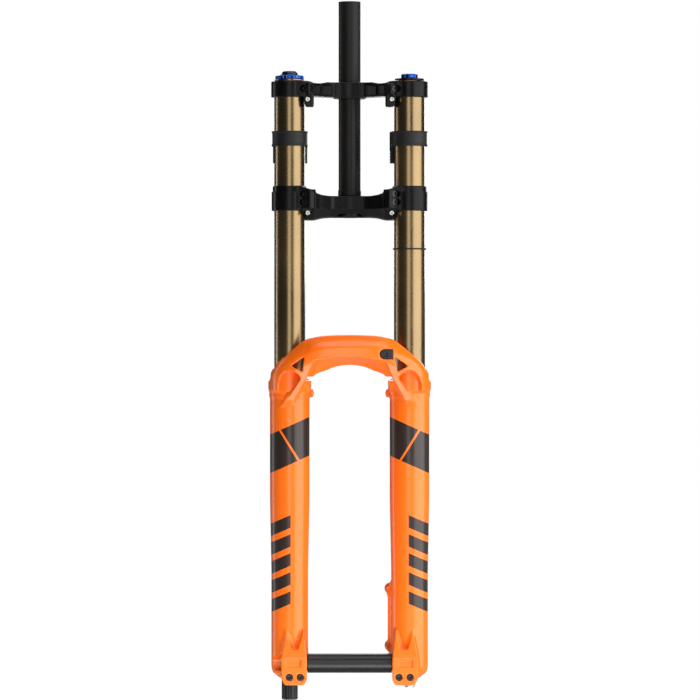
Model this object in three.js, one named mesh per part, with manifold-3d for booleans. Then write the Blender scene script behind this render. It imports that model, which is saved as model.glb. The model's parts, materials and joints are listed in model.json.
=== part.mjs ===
// A dual-crown bicycle suspension fork, in millimetres, +Z up.
// The origin is on the steerer axis at the crown race seat. The front of the fork faces -Y,
// +X is the air and brake side, and -X is the damper side. It is modelled fully extended.
import * as THREE from "three";
import { mergeVertices } from "three/addons/utils/BufferGeometryUtils.js";
import Module from "manifold-3d";

const wasm = await Module();
wasm.setup();

// ---- driving dimensions ----
const GAP = 0.3; // clearance kept between neighbouring pieces
const DAMPER = -1; // side signs along X
const AIR = 1;
const SIDES = [DAMPER, AIR];

const LEG_X = 77.3; // stanchion and leg axes stand at x = +-LEG_X
const LEG_Y = -34; // crown offset
const AXLE_Y = -52; // total offset of the wheel axle
const AXLE_Z = -602;

const STEERER = { r: 14.3, boreR: 11.7, footBoreR: 9.4, top: 253, foot: -26 };
const STANCHION = { r: 20, boreR: 17.6, top: 148, foot: -372 };

const UPPER_CROWN = { bottom: 126.8, top: 147.5, clampR: 24, boltZ: 137.5 };
const STEERER_BOLT = { y: 21.5, head: 7, tip: -12.5 }; // it lies along X behind the steerer
const LOWER_CROWN = {
  bottom: -19.6,
  top: 12.5,
  clampR: 23.4,
  band: -17, // the front face ends here and leans back below
  tail: -27.3,
  lean: 14,
  boltZ: [2.1, -8.5],
};
const CLAMP_BOLT_REACH = 27; // bolt axis to stanchion axis
const GUIDE_SCREW_AT = {
  upper: { x: 54.3, z: 123.7 },
  lower: { x: 54, z: -22.5 },
};
const GUIDE_SCREW_Y = { head: -53, tip: -44 };

const LEG_R = 25.5;
const LEG_FOOT_R = 23.7;
const LEG_BOTTOM = -617;
const LEG_FLOOR = -580; // inner floor of the leg
const COLLAR_TOP = -238.3;
const ABOVE_COLLAR = COLLAR_TOP + 120; // cutters that open upwards end here
const BUSHING_SEAT_R = 22.3;
const LOWER_BORE_R = 20.9;
const WIPER_SEAT_R = 24.3;
const WIPER_FLOOR = -258.6;

const ARCH_FRONT = -90;
const ARCH_REAR = -64;
const ARCH_TOP_DROP = 10.5; // the arch's top slopes down to the front by this much
const ARCH_CLEAR_R = 26; // the arch clears the wiper, and the crown clamp at full travel
const GUSSET_TOP = -560; // the fins above each dropout run out here
const DROPOUT = { inner: 54.8, outer: 86.1, front: -72, rear: -45.6, top: -594.8, bottom: -629.8 };
const AXLE_R = 10;
const AXLE_HALF = 86;
const SLEEVE_HALF = 54.4;
const HUB_SEAT_R = 15; // faced round the axle on the inner side of each dropout
const PINCH = { x: [63.4, 77.5], z: -619.2, headY: -66.5, tipY: -46.5 };
const POST = { x: 52.2, faceY: 2, z: [-508.3, -582.5], rootR: 9.5, faceR: 7.4, threadR: 2.6 };
const BLEEDER = { z: -254.8, turn: Math.PI / 9, r: 3, bossR: 5.4 };
const HOSE_GUIDE = { inner: 38.6, outer: 55.2, bottom: -210.3, top: -198.4, front: -88, back: -79 };
const SAG_RING = { z: -68.6, r: 21.6, half: 1, reliefR: 22.4, reliefTop: -28.5 };

const CARTRIDGE = { outer: 14, inner: 12.7, bottom: -351.6, top: 127.6 };
const PISTON_R = 12.4;
const PISTON_BORE_R = 4.4;
const SHAFT_R = 5;
const SHAFT_SPIGOT_R = 4;
const SEAL_TOP = -352;
const FOOT_HOLE_R = 3.9;
const DIAL_BORE_R = 4.3;

const ROUND = 32; // sides of the large turned pieces
const INNER = 20; // sides of the pieces sealed inside
const SLIM = 16; // sides of slim inner pieces
const SMALL = 10; // sides of the screws and other small ones

// Clamp bolts lie across a slot that points inward and forward from the stanchion.
const SLOT = new THREE.Vector3(-0.811, -0.585, 0).normalize();

// Screws: radius of head, shank and hexagon socket, with the head's height and the socket's depth.
const CAP_SCREW = { headR: 4.3, headHeight: 5, shankR: 2.5, socketR: 2.4, socketDepth: 3 };
const GUIDE_SCREW = { headR: 3, headHeight: 2.4, shankR: 1.5, socketR: 1.3, socketDepth: 1.5 };
const COUNTERBORE_GAP = 0.4;
const COUNTERBORE_DEPTH = 14;

// ---- solids ----
function solid(geometry) {
  const bare = new THREE.BufferGeometry();
  bare.setAttribute("position", geometry.getAttribute("position"));
  bare.setIndex(geometry.getIndex());
  const merged = mergeVertices(bare, 1e-4);
  const corners = merged.index.array;
  const kept = [];
  for (let i = 0; i < corners.length; i += 3) {
    const [a, b, c] = corners.slice(i, i + 3);
    if (a !== b && b !== c && c !== a) kept.push(a, b, c);
  }
  return new wasm.Manifold(
    new wasm.Mesh({
      numProp: 3,
      vertProperties: merged.attributes.position.array,
      triVerts: new Uint32Array(kept),
    }),
  );
}

function geometryOf(body) {
  const mesh = body.getMesh();
  const geometry = new THREE.BufferGeometry();
  geometry.setAttribute("position", new THREE.BufferAttribute(mesh.vertProperties, 3));
  geometry.setIndex(new THREE.BufferAttribute(mesh.triVerts, 1));
  geometry.computeVertexNormals();
  return geometry;
}

const joined = (bodies) => bodies.reduce((sum, body) => sum.add(body));
const without = (body, cutters) => cutters.reduce((left, cutter) => left.subtract(cutter), body);

// A solid of revolution about Z from [radius, z] corners, given in either direction.
function turned(corners, sides = ROUND) {
  const profile = corners.map(([r, z]) => new THREE.Vector2(r, z));
  if (THREE.ShapeUtils.area(profile) < 0) profile.reverse();
  profile.push(profile[0].clone());
  return solid(new THREE.LatheGeometry(profile, sides).rotateX(Math.PI / 2));
}

const ring = (outer, inner, bottom, top, sides = ROUND) =>
  turned([[inner, bottom], [outer, bottom], [outer, top], [inner, top]], sides);
const disc = (radius, bottom, top, sides = ROUND) =>
  turned([[0, bottom], [radius, bottom], [radius, top], [0, top]], sides);

// A flat outline in XY, raised along Z.
function plate(shape, bottom, top, curveSegments = 12) {
  const settings = { depth: top - bottom, bevelEnabled: false, curveSegments };
  return solid(new THREE.ExtrudeGeometry(shape, settings).translate(0, 0, bottom));
}

// The same with the outline shifted back by `shift` at its lower end.
function leaningPlate(shape, bottom, top, shift) {
  const settings = { depth: top - bottom, bevelEnabled: false };
  const geometry = new THREE.ExtrudeGeometry(shape, settings).translate(0, 0, bottom);
  const corner = geometry.getAttribute("position");
  for (let i = 0; i < corner.count; i++) {
    const share = (top - corner.getZ(i)) / (top - bottom);
    corner.setY(i, corner.getY(i) + share * shift);
  }
  return solid(geometry);
}

// An outline in XZ, as seen from the front, raised along Y.
function frontPlate(shape, front, back, curveSegments = 12) {
  const settings = { depth: back - front, bevelEnabled: false, curveSegments };
  const raised = new THREE.ExtrudeGeometry(shape, settings);
  return solid(raised.rotateX(Math.PI / 2).translate(0, back, 0));
}

// An outline in YZ, as seen from the +X side, raised along X.
function sidePlate(shape, low, high, curveSegments = 12) {
  const settings = { depth: high - low, bevelEnabled: false, curveSegments };
  const raised = new THREE.ExtrudeGeometry(shape, settings).translate(0, 0, low);
  const axes = new THREE.Matrix4().makeBasis(
    new THREE.Vector3(0, 1, 0),
    new THREE.Vector3(0, 0, 1),
    new THREE.Vector3(1, 0, 0),
  );
  return solid(raised.applyMatrix4(axes));
}

const outline = (corners) => new THREE.Shape(corners.map(([u, v]) => new THREE.Vector2(u, v)));

// An outline with its corners rounded off by arcs of one radius.
function roundedOutline(corners, radius) {
  const points = corners.map(([u, v]) => new THREE.Vector2(u, v));
  const shape = new THREE.Shape();
  points.forEach((corner, i) => {
    const before = points[(i + points.length - 1) % points.length];
    const after = points[(i + 1) % points.length];
    const start = corner.clone().add(before.clone().sub(corner).setLength(radius));
    const end = corner.clone().add(after.clone().sub(corner).setLength(radius));
    if (i === 0) shape.moveTo(start.x, start.y);
    else shape.lineTo(start.x, start.y);
    shape.quadraticCurveTo(corner.x, corner.y, end.x, end.y);
  });
  shape.closePath();
  return shape;
}

// A straight round or polygonal rod between two points.
function rod(radius, from, to, sides = SMALL, endRadius = radius) {
  const start = new THREE.Vector3(...from);
  const along = new THREE.Vector3(...to).sub(start);
  const cylinder = new THREE.CylinderGeometry(endRadius, radius, along.length(), sides);
  cylinder.translate(0, along.length() / 2, 0);
  const turn = new THREE.Quaternion().setFromUnitVectors(
    new THREE.Vector3(0, 1, 0),
    along.clone().normalize(),
  );
  cylinder.applyQuaternion(turn).translate(start.x, start.y, start.z);
  return solid(cylinder);
}

function block(low, high) {
  const size = high.map((value, i) => value - low[i]);
  const box = new THREE.BoxGeometry(...size);
  return solid(box.translate(...low.map((value, i) => value + size[i] / 2)));
}

// ---- scene graph ----
const fork = new THREE.Group();

const finishes = {
  blackAnodised: { color: 0x262323, roughness: 0.45, metalness: 0.6 },
  steererBlack: { color: 0x2b2827, roughness: 0.4, metalness: 0.6 },
  gold: { color: 0x7a5418, roughness: 0.25, metalness: 0.9 },
  orange: { color: 0xff6f08, roughness: 0.3, metalness: 0.0 },
  blue: { color: 0x1d4fae, roughness: 0.35, metalness: 0.8 },
  steel: { color: 0xb9b9bb, roughness: 0.3, metalness: 1.0 },
  blackSteel: { color: 0x1c1b1b, roughness: 0.45, metalness: 0.8 },
  rubber: { color: 0x151515, roughness: 0.8, metalness: 0.0 },
  plastic: { color: 0x1b1b1c, roughness: 0.6, metalness: 0.0 },
  bushing: { color: 0x8a8f8c, roughness: 0.5, metalness: 0.3 },
  foam: { color: 0x3c3f3a, roughness: 0.95, metalness: 0.0 },
};

function place(name, body, finish, position = [0, 0, 0]) {
  const mesh = new THREE.Mesh(geometryOf(body), new THREE.MeshStandardMaterial(finishes[finish]));
  mesh.name = name;
  mesh.position.set(...position);
  fork.add(mesh);
  return mesh;
}

const sideName = (side) => (side === DAMPER ? "damper" : "air");
const legPosition = (side) => [side * LEG_X, LEG_Y, 0];

// The clamp frame of one side: `out` is the slot direction and `face` the way the bolt heads look.
function clampFrame(side) {
  const out = new THREE.Vector3(side * SLOT.x, SLOT.y, 0);
  const face = new THREE.Vector3(side * -SLOT.y, SLOT.x, 0);
  const at = (reach, height, z) => [
    side * LEG_X + out.x * reach + face.x * height,
    LEG_Y + out.y * reach + face.y * height,
    z,
  ];
  return { out, face, at };
}

// ---- fasteners ----
// A socket-head cap screw: the underside of its head is at the origin and it points along -Z.
function capScrew(length, size) {
  const top = size.headHeight;
  const chamfer = 0.6;
  const body = turned(
    [
      [0, -length],
      [size.shankR, -length],
      [size.shankR, 0],
      [size.headR, 0],
      [size.headR, top - chamfer],
      [size.headR - chamfer, top],
      [0, top],
    ],
    SMALL,
  );
  return body.subtract(rod(size.socketR, [0, 0, top - size.socketDepth], [0, 0, top + 1], 6));
}

// The hole that such a screw needs, with a counterbore open towards its head.
function screwHole(head, tip, size = CAP_SCREW) {
  const from = new THREE.Vector3(...head);
  const back = from.clone().sub(new THREE.Vector3(...tip)).normalize();
  const mouth = from.clone().addScaledVector(back, COUNTERBORE_DEPTH);
  const seat = from.clone().addScaledVector(back, -GAP);
  return joined([
    rod(size.shankR + GAP, tip, head),
    rod(size.headR + COUNTERBORE_GAP, seat.toArray(), mouth.toArray()),
  ]);
}

// `short` is how far the screw ends before the bottom of its hole.
function placeScrew(name, head, tip, short, size = CAP_SCREW, finish = "blackSteel") {
  const from = new THREE.Vector3(...head);
  const along = from.clone().sub(new THREE.Vector3(...tip));
  const mesh = place(name, capScrew(along.length() - short, size), finish, head);
  mesh.quaternion.setFromUnitVectors(new THREE.Vector3(0, 0, 1), along.normalize());
  return mesh;
}

const steererBoltEnds = [STEERER_BOLT.head, STEERER_BOLT.tip].map((x) => [
  x,
  STEERER_BOLT.y,
  UPPER_CROWN.boltZ,
]);

// Head and tip of a clamp bolt, whose head stands `height` out of the ear's face plane.
function clampBoltEnds(side, height, tipHeight, z) {
  const { at } = clampFrame(side);
  return [at(CLAMP_BOLT_REACH, height, z), at(CLAMP_BOLT_REACH, tipHeight, z)];
}

const upperBoltEnds = (side) => clampBoltEnds(side, 0, -13, UPPER_CROWN.boltZ);
const lowerBoltEnds = (side, z) => clampBoltEnds(side, 0.7, -15, z);

function guideScrewEnds(side, crown) {
  const { x, z } = GUIDE_SCREW_AT[crown];
  return [
    [side * x, GUIDE_SCREW_Y.head, z],
    [side * x, GUIDE_SCREW_Y.tip, z],
  ];
}

const pinchBoltEnds = (side, x) => [
  [side * x, PINCH.headY, PINCH.z],
  [side * x, PINCH.tipY, PINCH.z],
];

// ---- steerer ----
function steererTube() {
  const { r, boreR, footBoreR, top, foot } = STEERER;
  const seatR = r + 0.7; // the swelling that the lower bearing race is pressed on
  return turned([
    [footBoreR, foot],
    [r, foot],
    [r, 1],
    [seatR, 1],
    [seatR, 7],
    [r, 9],
    [r, top - 1],
    [r - 0.8, top],
    [boreR, top],
    [boreR, 60],
    [footBoreR + 0.8, 40],
  ]);
}

// ---- crowns ----
// Half of a crown's plan, mirrored to the other side: the corners run from rear to front.
function mirrored(half) {
  const other = half.map(([x, y]) => [-x, y]).reverse();
  return outline([...half, ...other]);
}

// A block that carries the bolt heads beside a clamp, from reach a to b and out to `height`.
function clampEar(side, a, b, bottom, top, height) {
  const { at } = clampFrame(side);
  const corners = [at(a, -8, 0), at(b, -8, 0), at(b, height, 0), at(a, height, 0)];
  if (side === DAMPER) corners.reverse();
  return plate(outline(corners), bottom, top);
}

function clampSlot(side, reach, bottom, top) {
  const { at } = clampFrame(side);
  const corners = [at(17, -4.2, 0), at(reach, -4.2, 0), at(reach, -2.6, 0), at(17, -2.6, 0)];
  if (side === DAMPER) corners.reverse();
  return plate(outline(corners), bottom, top);
}

// A tab that hangs below the upper crown in front of its arm and carries one small screw.
function guideTab(side) {
  const root = UPPER_CROWN.bottom + 6;
  const bottom = 114;
  const corners = [
    [side * 46, root],
    [side * 46, bottom],
    [side * 57, bottom],
    [side * 61, root],
  ];
  return frontPlate(roundedOutline(corners, 2.5), GUIDE_SCREW_Y.head, -40);
}

// A shallow rectangular pocket in the front of an arm.
function frontPocket(side, inner, outer, back) {
  const { bottom, top } = UPPER_CROWN;
  const corners = [
    [side * inner, bottom + 3.2],
    [side * outer, bottom + 3.2],
    [side * outer, top - 4],
    [side * inner, top - 4],
  ];
  return frontPlate(roundedOutline(corners, 2), -75, back);
}

// The dip in the top of an arm, between the hub and the stanchion clamp.
function armScoop(side) {
  const { top } = UPPER_CROWN;
  const corners = [
    [28, top + 5],
    [29, top],
    [36, top - 2.3],
    [47, top - 2.3],
    [52, top],
    [53, top + 5],
  ];
  return frontPlate(outline(corners.map(([x, z]) => [side * x, z])), -70, 30);
}

function upperCrownBody() {
  const { bottom, top, clampR } = UPPER_CROWN;
  const plan = mirrored([
    [0, 21],
    [18, 16],
    [40, -8],
    [70, -14],
    [70, -54],
    [60, -56],
    [44, -46],
    [22, -19],
    [0, -20],
  ]);
  const parts = [
    plate(plan, bottom + 1.5, top),
    ring(20.5, 5, bottom, top),
    block([-12, 10, bottom + 2], [12, 29, top - 1.5]),
  ];
  for (const side of SIDES) {
    parts.push(disc(clampR, bottom, top).translate(legPosition(side)));
    parts.push(clampEar(side, 19, 34, bottom + 2.8, top - 2.5, 4.6));
    parts.push(guideTab(side));
  }
  return joined(parts);
}

function upperCrown() {
  const { bottom, top } = UPPER_CROWN;
  const cuts = [
    disc(STEERER.r + GAP, bottom - 1, top + 1),
    block([-0.8, 12, bottom - 1], [0.8, 30, top + 1]),
    screwHole(...steererBoltEnds),
  ];
  for (const side of SIDES) {
    const bore = disc(STANCHION.r + GAP, bottom - 20, top + 1);
    cuts.push(bore.translate(legPosition(side)));
    cuts.push(clampSlot(side, 36, bottom - 1, top + 1));
    cuts.push(screwHole(...upperBoltEnds(side)));
    cuts.push(screwHole(...guideScrewEnds(side, "upper"), GUIDE_SCREW));
    cuts.push(armScoop(side));
    cuts.push(frontPocket(side, 22, 35, -20));
    cuts.push(frontPocket(side, 37.5, 46, -34));
  }
  return without(upperCrownBody(), cuts);
}

// The lower crown as seen from the front, with its curved top and its deeper middle.
function lowerCrownFront() {
  const { bottom, top, tail } = LOWER_CROWN;
  const keel = tail - 4;
  const shape = new THREE.Shape();
  shape.moveTo(78, bottom);
  shape.lineTo(62, bottom);
  shape.lineTo(58, keel);
  shape.lineTo(47, keel);
  shape.quadraticCurveTo(36, tail, 24, tail);
  shape.lineTo(-24, tail);
  shape.quadraticCurveTo(-36, tail, -47, keel);
  shape.lineTo(-58, keel);
  shape.lineTo(-62, bottom);
  shape.lineTo(-78, bottom);
  shape.lineTo(-78, top - 1);
  shape.lineTo(-60, top - 1);
  shape.quadraticCurveTo(-44, 2, -27, 0);
  shape.lineTo(27, 0);
  shape.quadraticCurveTo(44, 2, 60, top - 1);
  shape.lineTo(78, top - 1);
  return frontPlate(shape, -70, 40, 6);
}

function lowerCrownBody() {
  const { bottom, top, clampR, band, tail, lean } = LOWER_CROWN;
  const plan = mirrored([
    [0, 27],
    [16, 22],
    [34, 4],
    [60, -8],
    [78, -10],
    [78, -52],
    [55, -57],
    [47, -57],
    [40, -48],
    [22, -31],
    [0, -28],
  ]);
  const foot = tail - 6;
  const leaning = plate(plan, foot, band).intersect(leaningPlate(plan, foot, band, lean));
  const parts = [joined([plate(plan, band, top), leaning]).intersect(lowerCrownFront())];
  for (const side of SIDES) {
    const clamp = turned([
      [0, bottom],
      [clampR, bottom],
      [clampR, top - 8],
      [clampR - 1.4, top - 7],
      [clampR - 1.4, top],
      [0, top],
    ]);
    parts.push(clamp.translate(legPosition(side)));
    parts.push(clampEar(side, 19, 37, -16.5, 8, 5.5));
  }
  return joined(parts);
}

function lowerCrown() {
  const { top, band, tail, boltZ } = LOWER_CROWN;
  const below = tail - 10;
  const groove = disc(25, below, tail + 5).subtract(disc(18.5, below - 1, tail + 6));
  const cuts = [disc(STEERER.r + GAP, below, top + 1), groove];
  for (const side of SIDES) {
    const { x } = GUIDE_SCREW_AT.lower;
    const bore = disc(STANCHION.r + GAP, below, top + 1);
    const relief = disc(SAG_RING.reliefR, below, SAG_RING.reliefTop);
    cuts.push(joined([bore, relief]).translate(legPosition(side)));
    cuts.push(clampSlot(side, 40, below, top + 1));
    for (const z of boltZ) cuts.push(screwHole(...lowerBoltEnds(side, z)));
    cuts.push(screwHole(...guideScrewEnds(side, "lower"), GUIDE_SCREW));
    cuts.push(block([side * x - 6, -80, -40], [side * x + 6, GUIDE_SCREW_Y.head, band + 0.2]));
  }
  return without(lowerCrownBody(), cuts);
}

// ---- lowers: legs ----
function legBody() {
  return turned([
    [0, LEG_BOTTOM],
    [19, LEG_BOTTOM],
    [LEG_FOOT_R - 1.2, LEG_BOTTOM + 5],
    [LEG_FOOT_R, LEG_BOTTOM + 9],
    [LEG_FOOT_R, -483],
    [LEG_R, -392],
    [LEG_R, -254],
    [LEG_R + 0.9, -251],
    [LEG_R + 2.1, -247],
    [LEG_R + 2.1, COLLAR_TOP + 1.5],
    [LEG_R + 0.9, COLLAR_TOP],
    [0, COLLAR_TOP],
  ]);
}

function legBore() {
  const seatFoot = -368;
  return turned([
    [0, LEG_FLOOR],
    [LOWER_BORE_R - 4, LEG_FLOOR],
    [LOWER_BORE_R, LEG_FLOOR + 4],
    [LOWER_BORE_R, seatFoot],
    [BUSHING_SEAT_R, seatFoot],
    [BUSHING_SEAT_R, WIPER_FLOOR],
    [WIPER_SEAT_R, WIPER_FLOOR],
    [WIPER_SEAT_R, ABOVE_COLLAR],
    [0, ABOVE_COLLAR],
  ]);
}

// ---- lowers: arch ----
const splineOf = (points) =>
  new THREE.SplineCurve(points.map(([u, v]) => new THREE.Vector2(u, v)));

// A curve given from the -X side up to its middle, mirrored to the +X side.
function symmetricSpline(half, divisions) {
  const other = half.slice(0, -1).map(([u, v]) => [-u, v]).reverse();
  return splineOf([...half, ...other]).getPoints(divisions);
}

// The arch as seen from the front, before its opening is cut: a curved band from leg to leg.
function archFront() {
  const crest = [
    [-101.5, -251],
    [-103.5, -246],
    [-105, -233],
    [-99.5, -217],
    [-89, -205.5],
    [-72, -195],
    [-54, -184.3],
    [-36, -180.6],
    [0, -179.3],
  ];
  const foot = [
    [96, -252.5],
    [91, -250],
    [77, -250],
    [79, -262],
    [73, -265.5],
    [63.5, -248],
    [56, -238],
    [50, -246],
  ];
  const shape = new THREE.Shape(symmetricSpline(crest, 28));
  foot.forEach(([x, z]) => shape.lineTo(x, z));
  foot.reverse().forEach(([x, z]) => shape.lineTo(-x, z));
  shape.closePath();
  return shape;
}

// The space under the arch's sloping top: its upper edge is lower in front than at the rear.
function underTopSlope() {
  const half = [
    [-112, -262],
    [-106, -233],
    [-100.5, -216],
    [-89, -204.5],
    [-72, -194],
    [-54, -183.3],
    [-36, -179.6],
    [0, -178.3],
  ];
  const shape = new THREE.Shape(symmetricSpline(half, 24));
  shape.lineTo(112, -300);
  shape.lineTo(-112, -300);
  shape.closePath();
  const settings = { depth: -18 - ARCH_FRONT, bevelEnabled: false, steps: 2 };
  const geometry = new THREE.ExtrudeGeometry(shape, settings);
  geometry.rotateX(Math.PI / 2).translate(0, -18, 0);
  const corner = geometry.getAttribute("position");
  const slopeRear = (-18 + ARCH_FRONT) / 2;
  for (let i = 0; i < corner.count; i++) {
    const y = corner.getY(i);
    if (y > slopeRear + 1 || corner.getZ(i) < -299) continue;
    const share = y < slopeRear - 1 ? 1 : 0;
    corner.setZ(i, corner.getZ(i) - share * ARCH_TOP_DROP * 1.3);
  }
  return solid(geometry);
}

// The arch from above: it wraps round the front and the outer side of both legs.
function archPlan() {
  const half = [
    [-104.5, -24],
    [-105, -42],
    [-100, -58],
    [-88, -70],
    [-66, -80],
    [-40, -88],
    [0, ARCH_FRONT],
  ];
  const rear = [
    [LEG_X, -24],
    [LEG_X, ARCH_REAR + 12],
    [54, ARCH_REAR + 8],
    [51, ARCH_REAR],
  ];
  const shape = new THREE.Shape(symmetricSpline(half, 20));
  rear.forEach(([x, y]) => shape.lineTo(x, y));
  rear.reverse().forEach(([x, y]) => shape.lineTo(-x, y));
  shape.closePath();
  return shape;
}

// The wheel opening under the arch. Its roof slopes: it is lower at the rear than at the front.
function wheelOpening() {
  const half = [
    [-50.5, -250],
    [-48.6, -241.3],
    [-38.3, -229.5],
    [-22.7, -222.3],
    [0, -219.5],
  ];
  const shape = new THREE.Shape(symmetricSpline(half, 24));
  shape.lineTo(50.5, -300);
  shape.lineTo(-50.5, -300);
  shape.closePath();
  const settings = { depth: 60, bevelEnabled: false };
  const geometry = new THREE.ExtrudeGeometry(shape, settings);
  geometry.rotateX(Math.PI / 2).translate(0, -40, 0);
  const corner = geometry.getAttribute("position");
  const base = -260; // the taper starts above this height
  for (let i = 0; i < corner.count; i++) {
    const share = (ARCH_REAR - corner.getY(i)) / (ARCH_REAR - ARCH_FRONT);
    const z = corner.getZ(i);
    corner.setX(i, corner.getX(i) * (1 - 0.05 * share));
    if (z > base) corner.setZ(i, base + (z - base) * (1 + 0.3 * share));
  }
  return solid(geometry);
}

const sideCut = (shape, a, b) => sidePlate(shape, Math.min(a, b), Math.max(a, b));

function archWindow(side) {
  const corners = [
    [side * 54.4, -205.4],
    [side * 73.8, -219.4],
    [side * 58.6, -229],
  ];
  return frontPlate(roundedOutline(corners, 3), -100, -54, 3);
}

// The dome-topped recess in front of the wiper housing, between the arch's band and its strut.
function archPocket(side) {
  const shape = new THREE.Shape();
  shape.moveTo(side * 74.6, -250);
  shape.lineTo(side * 94, -250);
  shape.quadraticCurveTo(side * 92, -238, side * 86, -230);
  shape.quadraticCurveTo(side * 79, -223, side * 70, -226);
  shape.lineTo(side * 61, -234);
  shape.closePath();
  return frontPlate(shape, -100, -63, 6);
}

function archBody() {
  const band = frontPlate(archFront(), -100, -20, 6).intersect(plate(archPlan(), -270, -175));
  // The struts run back down into the fronts of the legs.
  const strutSlope = outline([
    [-100, -217],
    [-82, -240],
    [-58.2, -266],
    [-58.2, -270],
    [-100, -270],
  ]);
  // The band's outer ends run down and back into the collars.
  const endSlope = outline([
    [-50, -190],
    [-50, -214],
    [-26, -241],
    [-10, -241],
    [-10, -190],
  ]);
  const cuts = [sidePlate(strutSlope, -112, 112)];
  for (const side of SIDES) {
    const clear = disc(ARCH_CLEAR_R, -262, ABOVE_COLLAR);
    // Above the collar the band's rear face is flat from the middle to the stanchion.
    const flatEnds = [side * 39, side * LEG_X];
    cuts.push(archWindow(side));
    cuts.push(archPocket(side));
    cuts.push(clear.translate(legPosition(side)));
    cuts.push(block([Math.min(...flatEnds), -63, COLLAR_TOP + 4], [Math.max(...flatEnds), 0, -150]));
    cuts.push(sideCut(endSlope, side * 84, side * 110));
  }
  return without(band.intersect(underTopSlope()), [wheelOpening(), ...cuts]);
}

// ---- lowers: dropouts and brake posts ----
function dropoutSide(side) {
  const { inner, outer, front, rear, top, bottom } = DROPOUT;
  const corners = [
    [front, bottom],
    [rear, bottom],
    [rear, LEG_BOTTOM + 6],
    [LEG_Y, LEG_BOTTOM + 8],
    [LEG_Y, GUSSET_TOP],
    [-57, GUSSET_TOP],
    [front, top],
  ];
  const ends = [side * inner, side * outer];
  return sidePlate(roundedOutline(corners, 1.5), Math.min(...ends), Math.max(...ends), 2);
}

// Seen from the front: the block round the axle with two fins above it.
function dropoutFront(side) {
  const { inner, outer, top, bottom } = DROPOUT;
  const corners = [
    [inner + 4, bottom],
    [outer - 5, bottom],
    [outer, bottom + 9],
    [outer, top],
    [81.5, GUSSET_TOP],
    [74.5, -584],
    [67, -584],
    [59.5, GUSSET_TOP],
    [inner, top],
    [inner, bottom + 7],
  ];
  const shape = roundedOutline(corners.map(([x, z]) => [side * x, z]), 1.2);
  return frontPlate(shape, -90, 0, 2);
}

function dropoutBody(side) {
  const panel = [
    [side * 63, -606],
    [side * 81, -606],
    [side * 81, -597],
    [side * 63, -597],
  ];
  const recess = frontPlate(roundedOutline(panel, 2), -90, DROPOUT.front + 1.5, 3);
  return dropoutSide(side).intersect(dropoutFront(side)).subtract(recess);
}

// Two posts with flat rear faces for a brake caliper, and the web between them.
function brakePosts() {
  const { x, faceY, z, rootR, faceR, threadR } = POST;
  const posts = z.map((height) =>
    rod(rootR, [x + 5, LEG_Y + 8, height], [x, faceY + 2, height], 16, faceR),
  );
  const web = outline([
    [x - 3, LEG_Y + 6],
    [x + 14, LEG_Y + 6],
    [x + 8, -8],
    [x + 1, -8],
  ]);
  const facing = block([x - 20, faceY, z[1] - 20], [x + 20, faceY + 20, z[0] + 20]);
  const threads = z.map((height) =>
    rod(threadR, [x, LEG_Y + 16, height], [x, faceY + 1, height]),
  );
  const body = joined([...posts, plate(web, z[1] + 4, z[0] - 4)]);
  return { body: body.subtract(facing), threads };
}

// ---- lowers: the casting ----
// A point on a bleeder's axis, `reach` from the leg's axis.
const bleederAt = (side, reach) => [
  side * (LEG_X - reach * Math.cos(BLEEDER.turn)),
  LEG_Y + reach * Math.sin(BLEEDER.turn),
  BLEEDER.z,
];

function hoseGuideOutline(grow) {
  const { inner, outer, bottom, top } = HOSE_GUIDE;
  const half = (top - bottom) / 2 + grow;
  const middle = (top + bottom) / 2;
  const tip = inner + half - grow;
  const shape = new THREE.Shape();
  shape.moveTo(outer + grow, middle - half);
  shape.lineTo(outer + grow, middle + half);
  shape.lineTo(tip, middle + half);
  shape.absarc(tip, middle, half, Math.PI / 2, (3 * Math.PI) / 2, false);
  shape.closePath();
  return shape;
}

const alongAxle = (radius, from, to, sides = ROUND) =>
  rod(radius, [from, AXLE_Y, AXLE_Z], [to, AXLE_Y, AXLE_Z], sides);

// What one leg's side of the casting loses: bores, bolt holes and the pinch slot.
function legCuts(side) {
  const [x, y] = legPosition(side);
  const slotEnds = [side * 50, side * 92];
  return [
    legBore().translate([x, y, 0]),
    rod(FOOT_HOLE_R, [x, y, LEG_BOTTOM - 20], [x, y, LEG_FLOOR + 1]),
    block([Math.min(...slotEnds), AXLE_Y - 0.8, -640], [Math.max(...slotEnds), AXLE_Y + 0.8, AXLE_Z]),
    rod(BLEEDER.r + GAP, bleederAt(side, 15), bleederAt(side, 40)),
    alongAxle(HUB_SEAT_R, side * 48, side * DROPOUT.inner, 24),
    ...PINCH.x.map((boltX) => screwHole(...pinchBoltEnds(side, boltX))),
  ];
}

function lowerCasting() {
  const { body, threads } = brakePosts();
  const parts = [archBody(), body];
  const cuts = [
    alongAxle(AXLE_R + GAP, -120, 120),
    frontPlate(hoseGuideOutline(GAP), -110, HOSE_GUIDE.back + GAP),
    ...threads,
  ];
  for (const side of SIDES) {
    parts.push(legBody().translate(legPosition(side)));
    parts.push(dropoutBody(side));
    parts.push(rod(BLEEDER.bossR, bleederAt(side, 20), bleederAt(side, 31)));
    cuts.push(...legCuts(side));
  }
  return without(joined(parts), cuts);
}

// ---- small pieces ----
// An outline with teeth round it, for knurled dials and ribbed covers.
function toothed(outer, inner, teeth) {
  const radii = [inner, outer, outer, inner];
  const corners = [];
  for (let i = 0; i < teeth * radii.length; i++) {
    const angle = (i / (teeth * radii.length)) * 2 * Math.PI;
    const r = radii[i % radii.length];
    corners.push([r * Math.cos(angle), r * Math.sin(angle)]);
  }
  return outline(corners);
}

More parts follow.
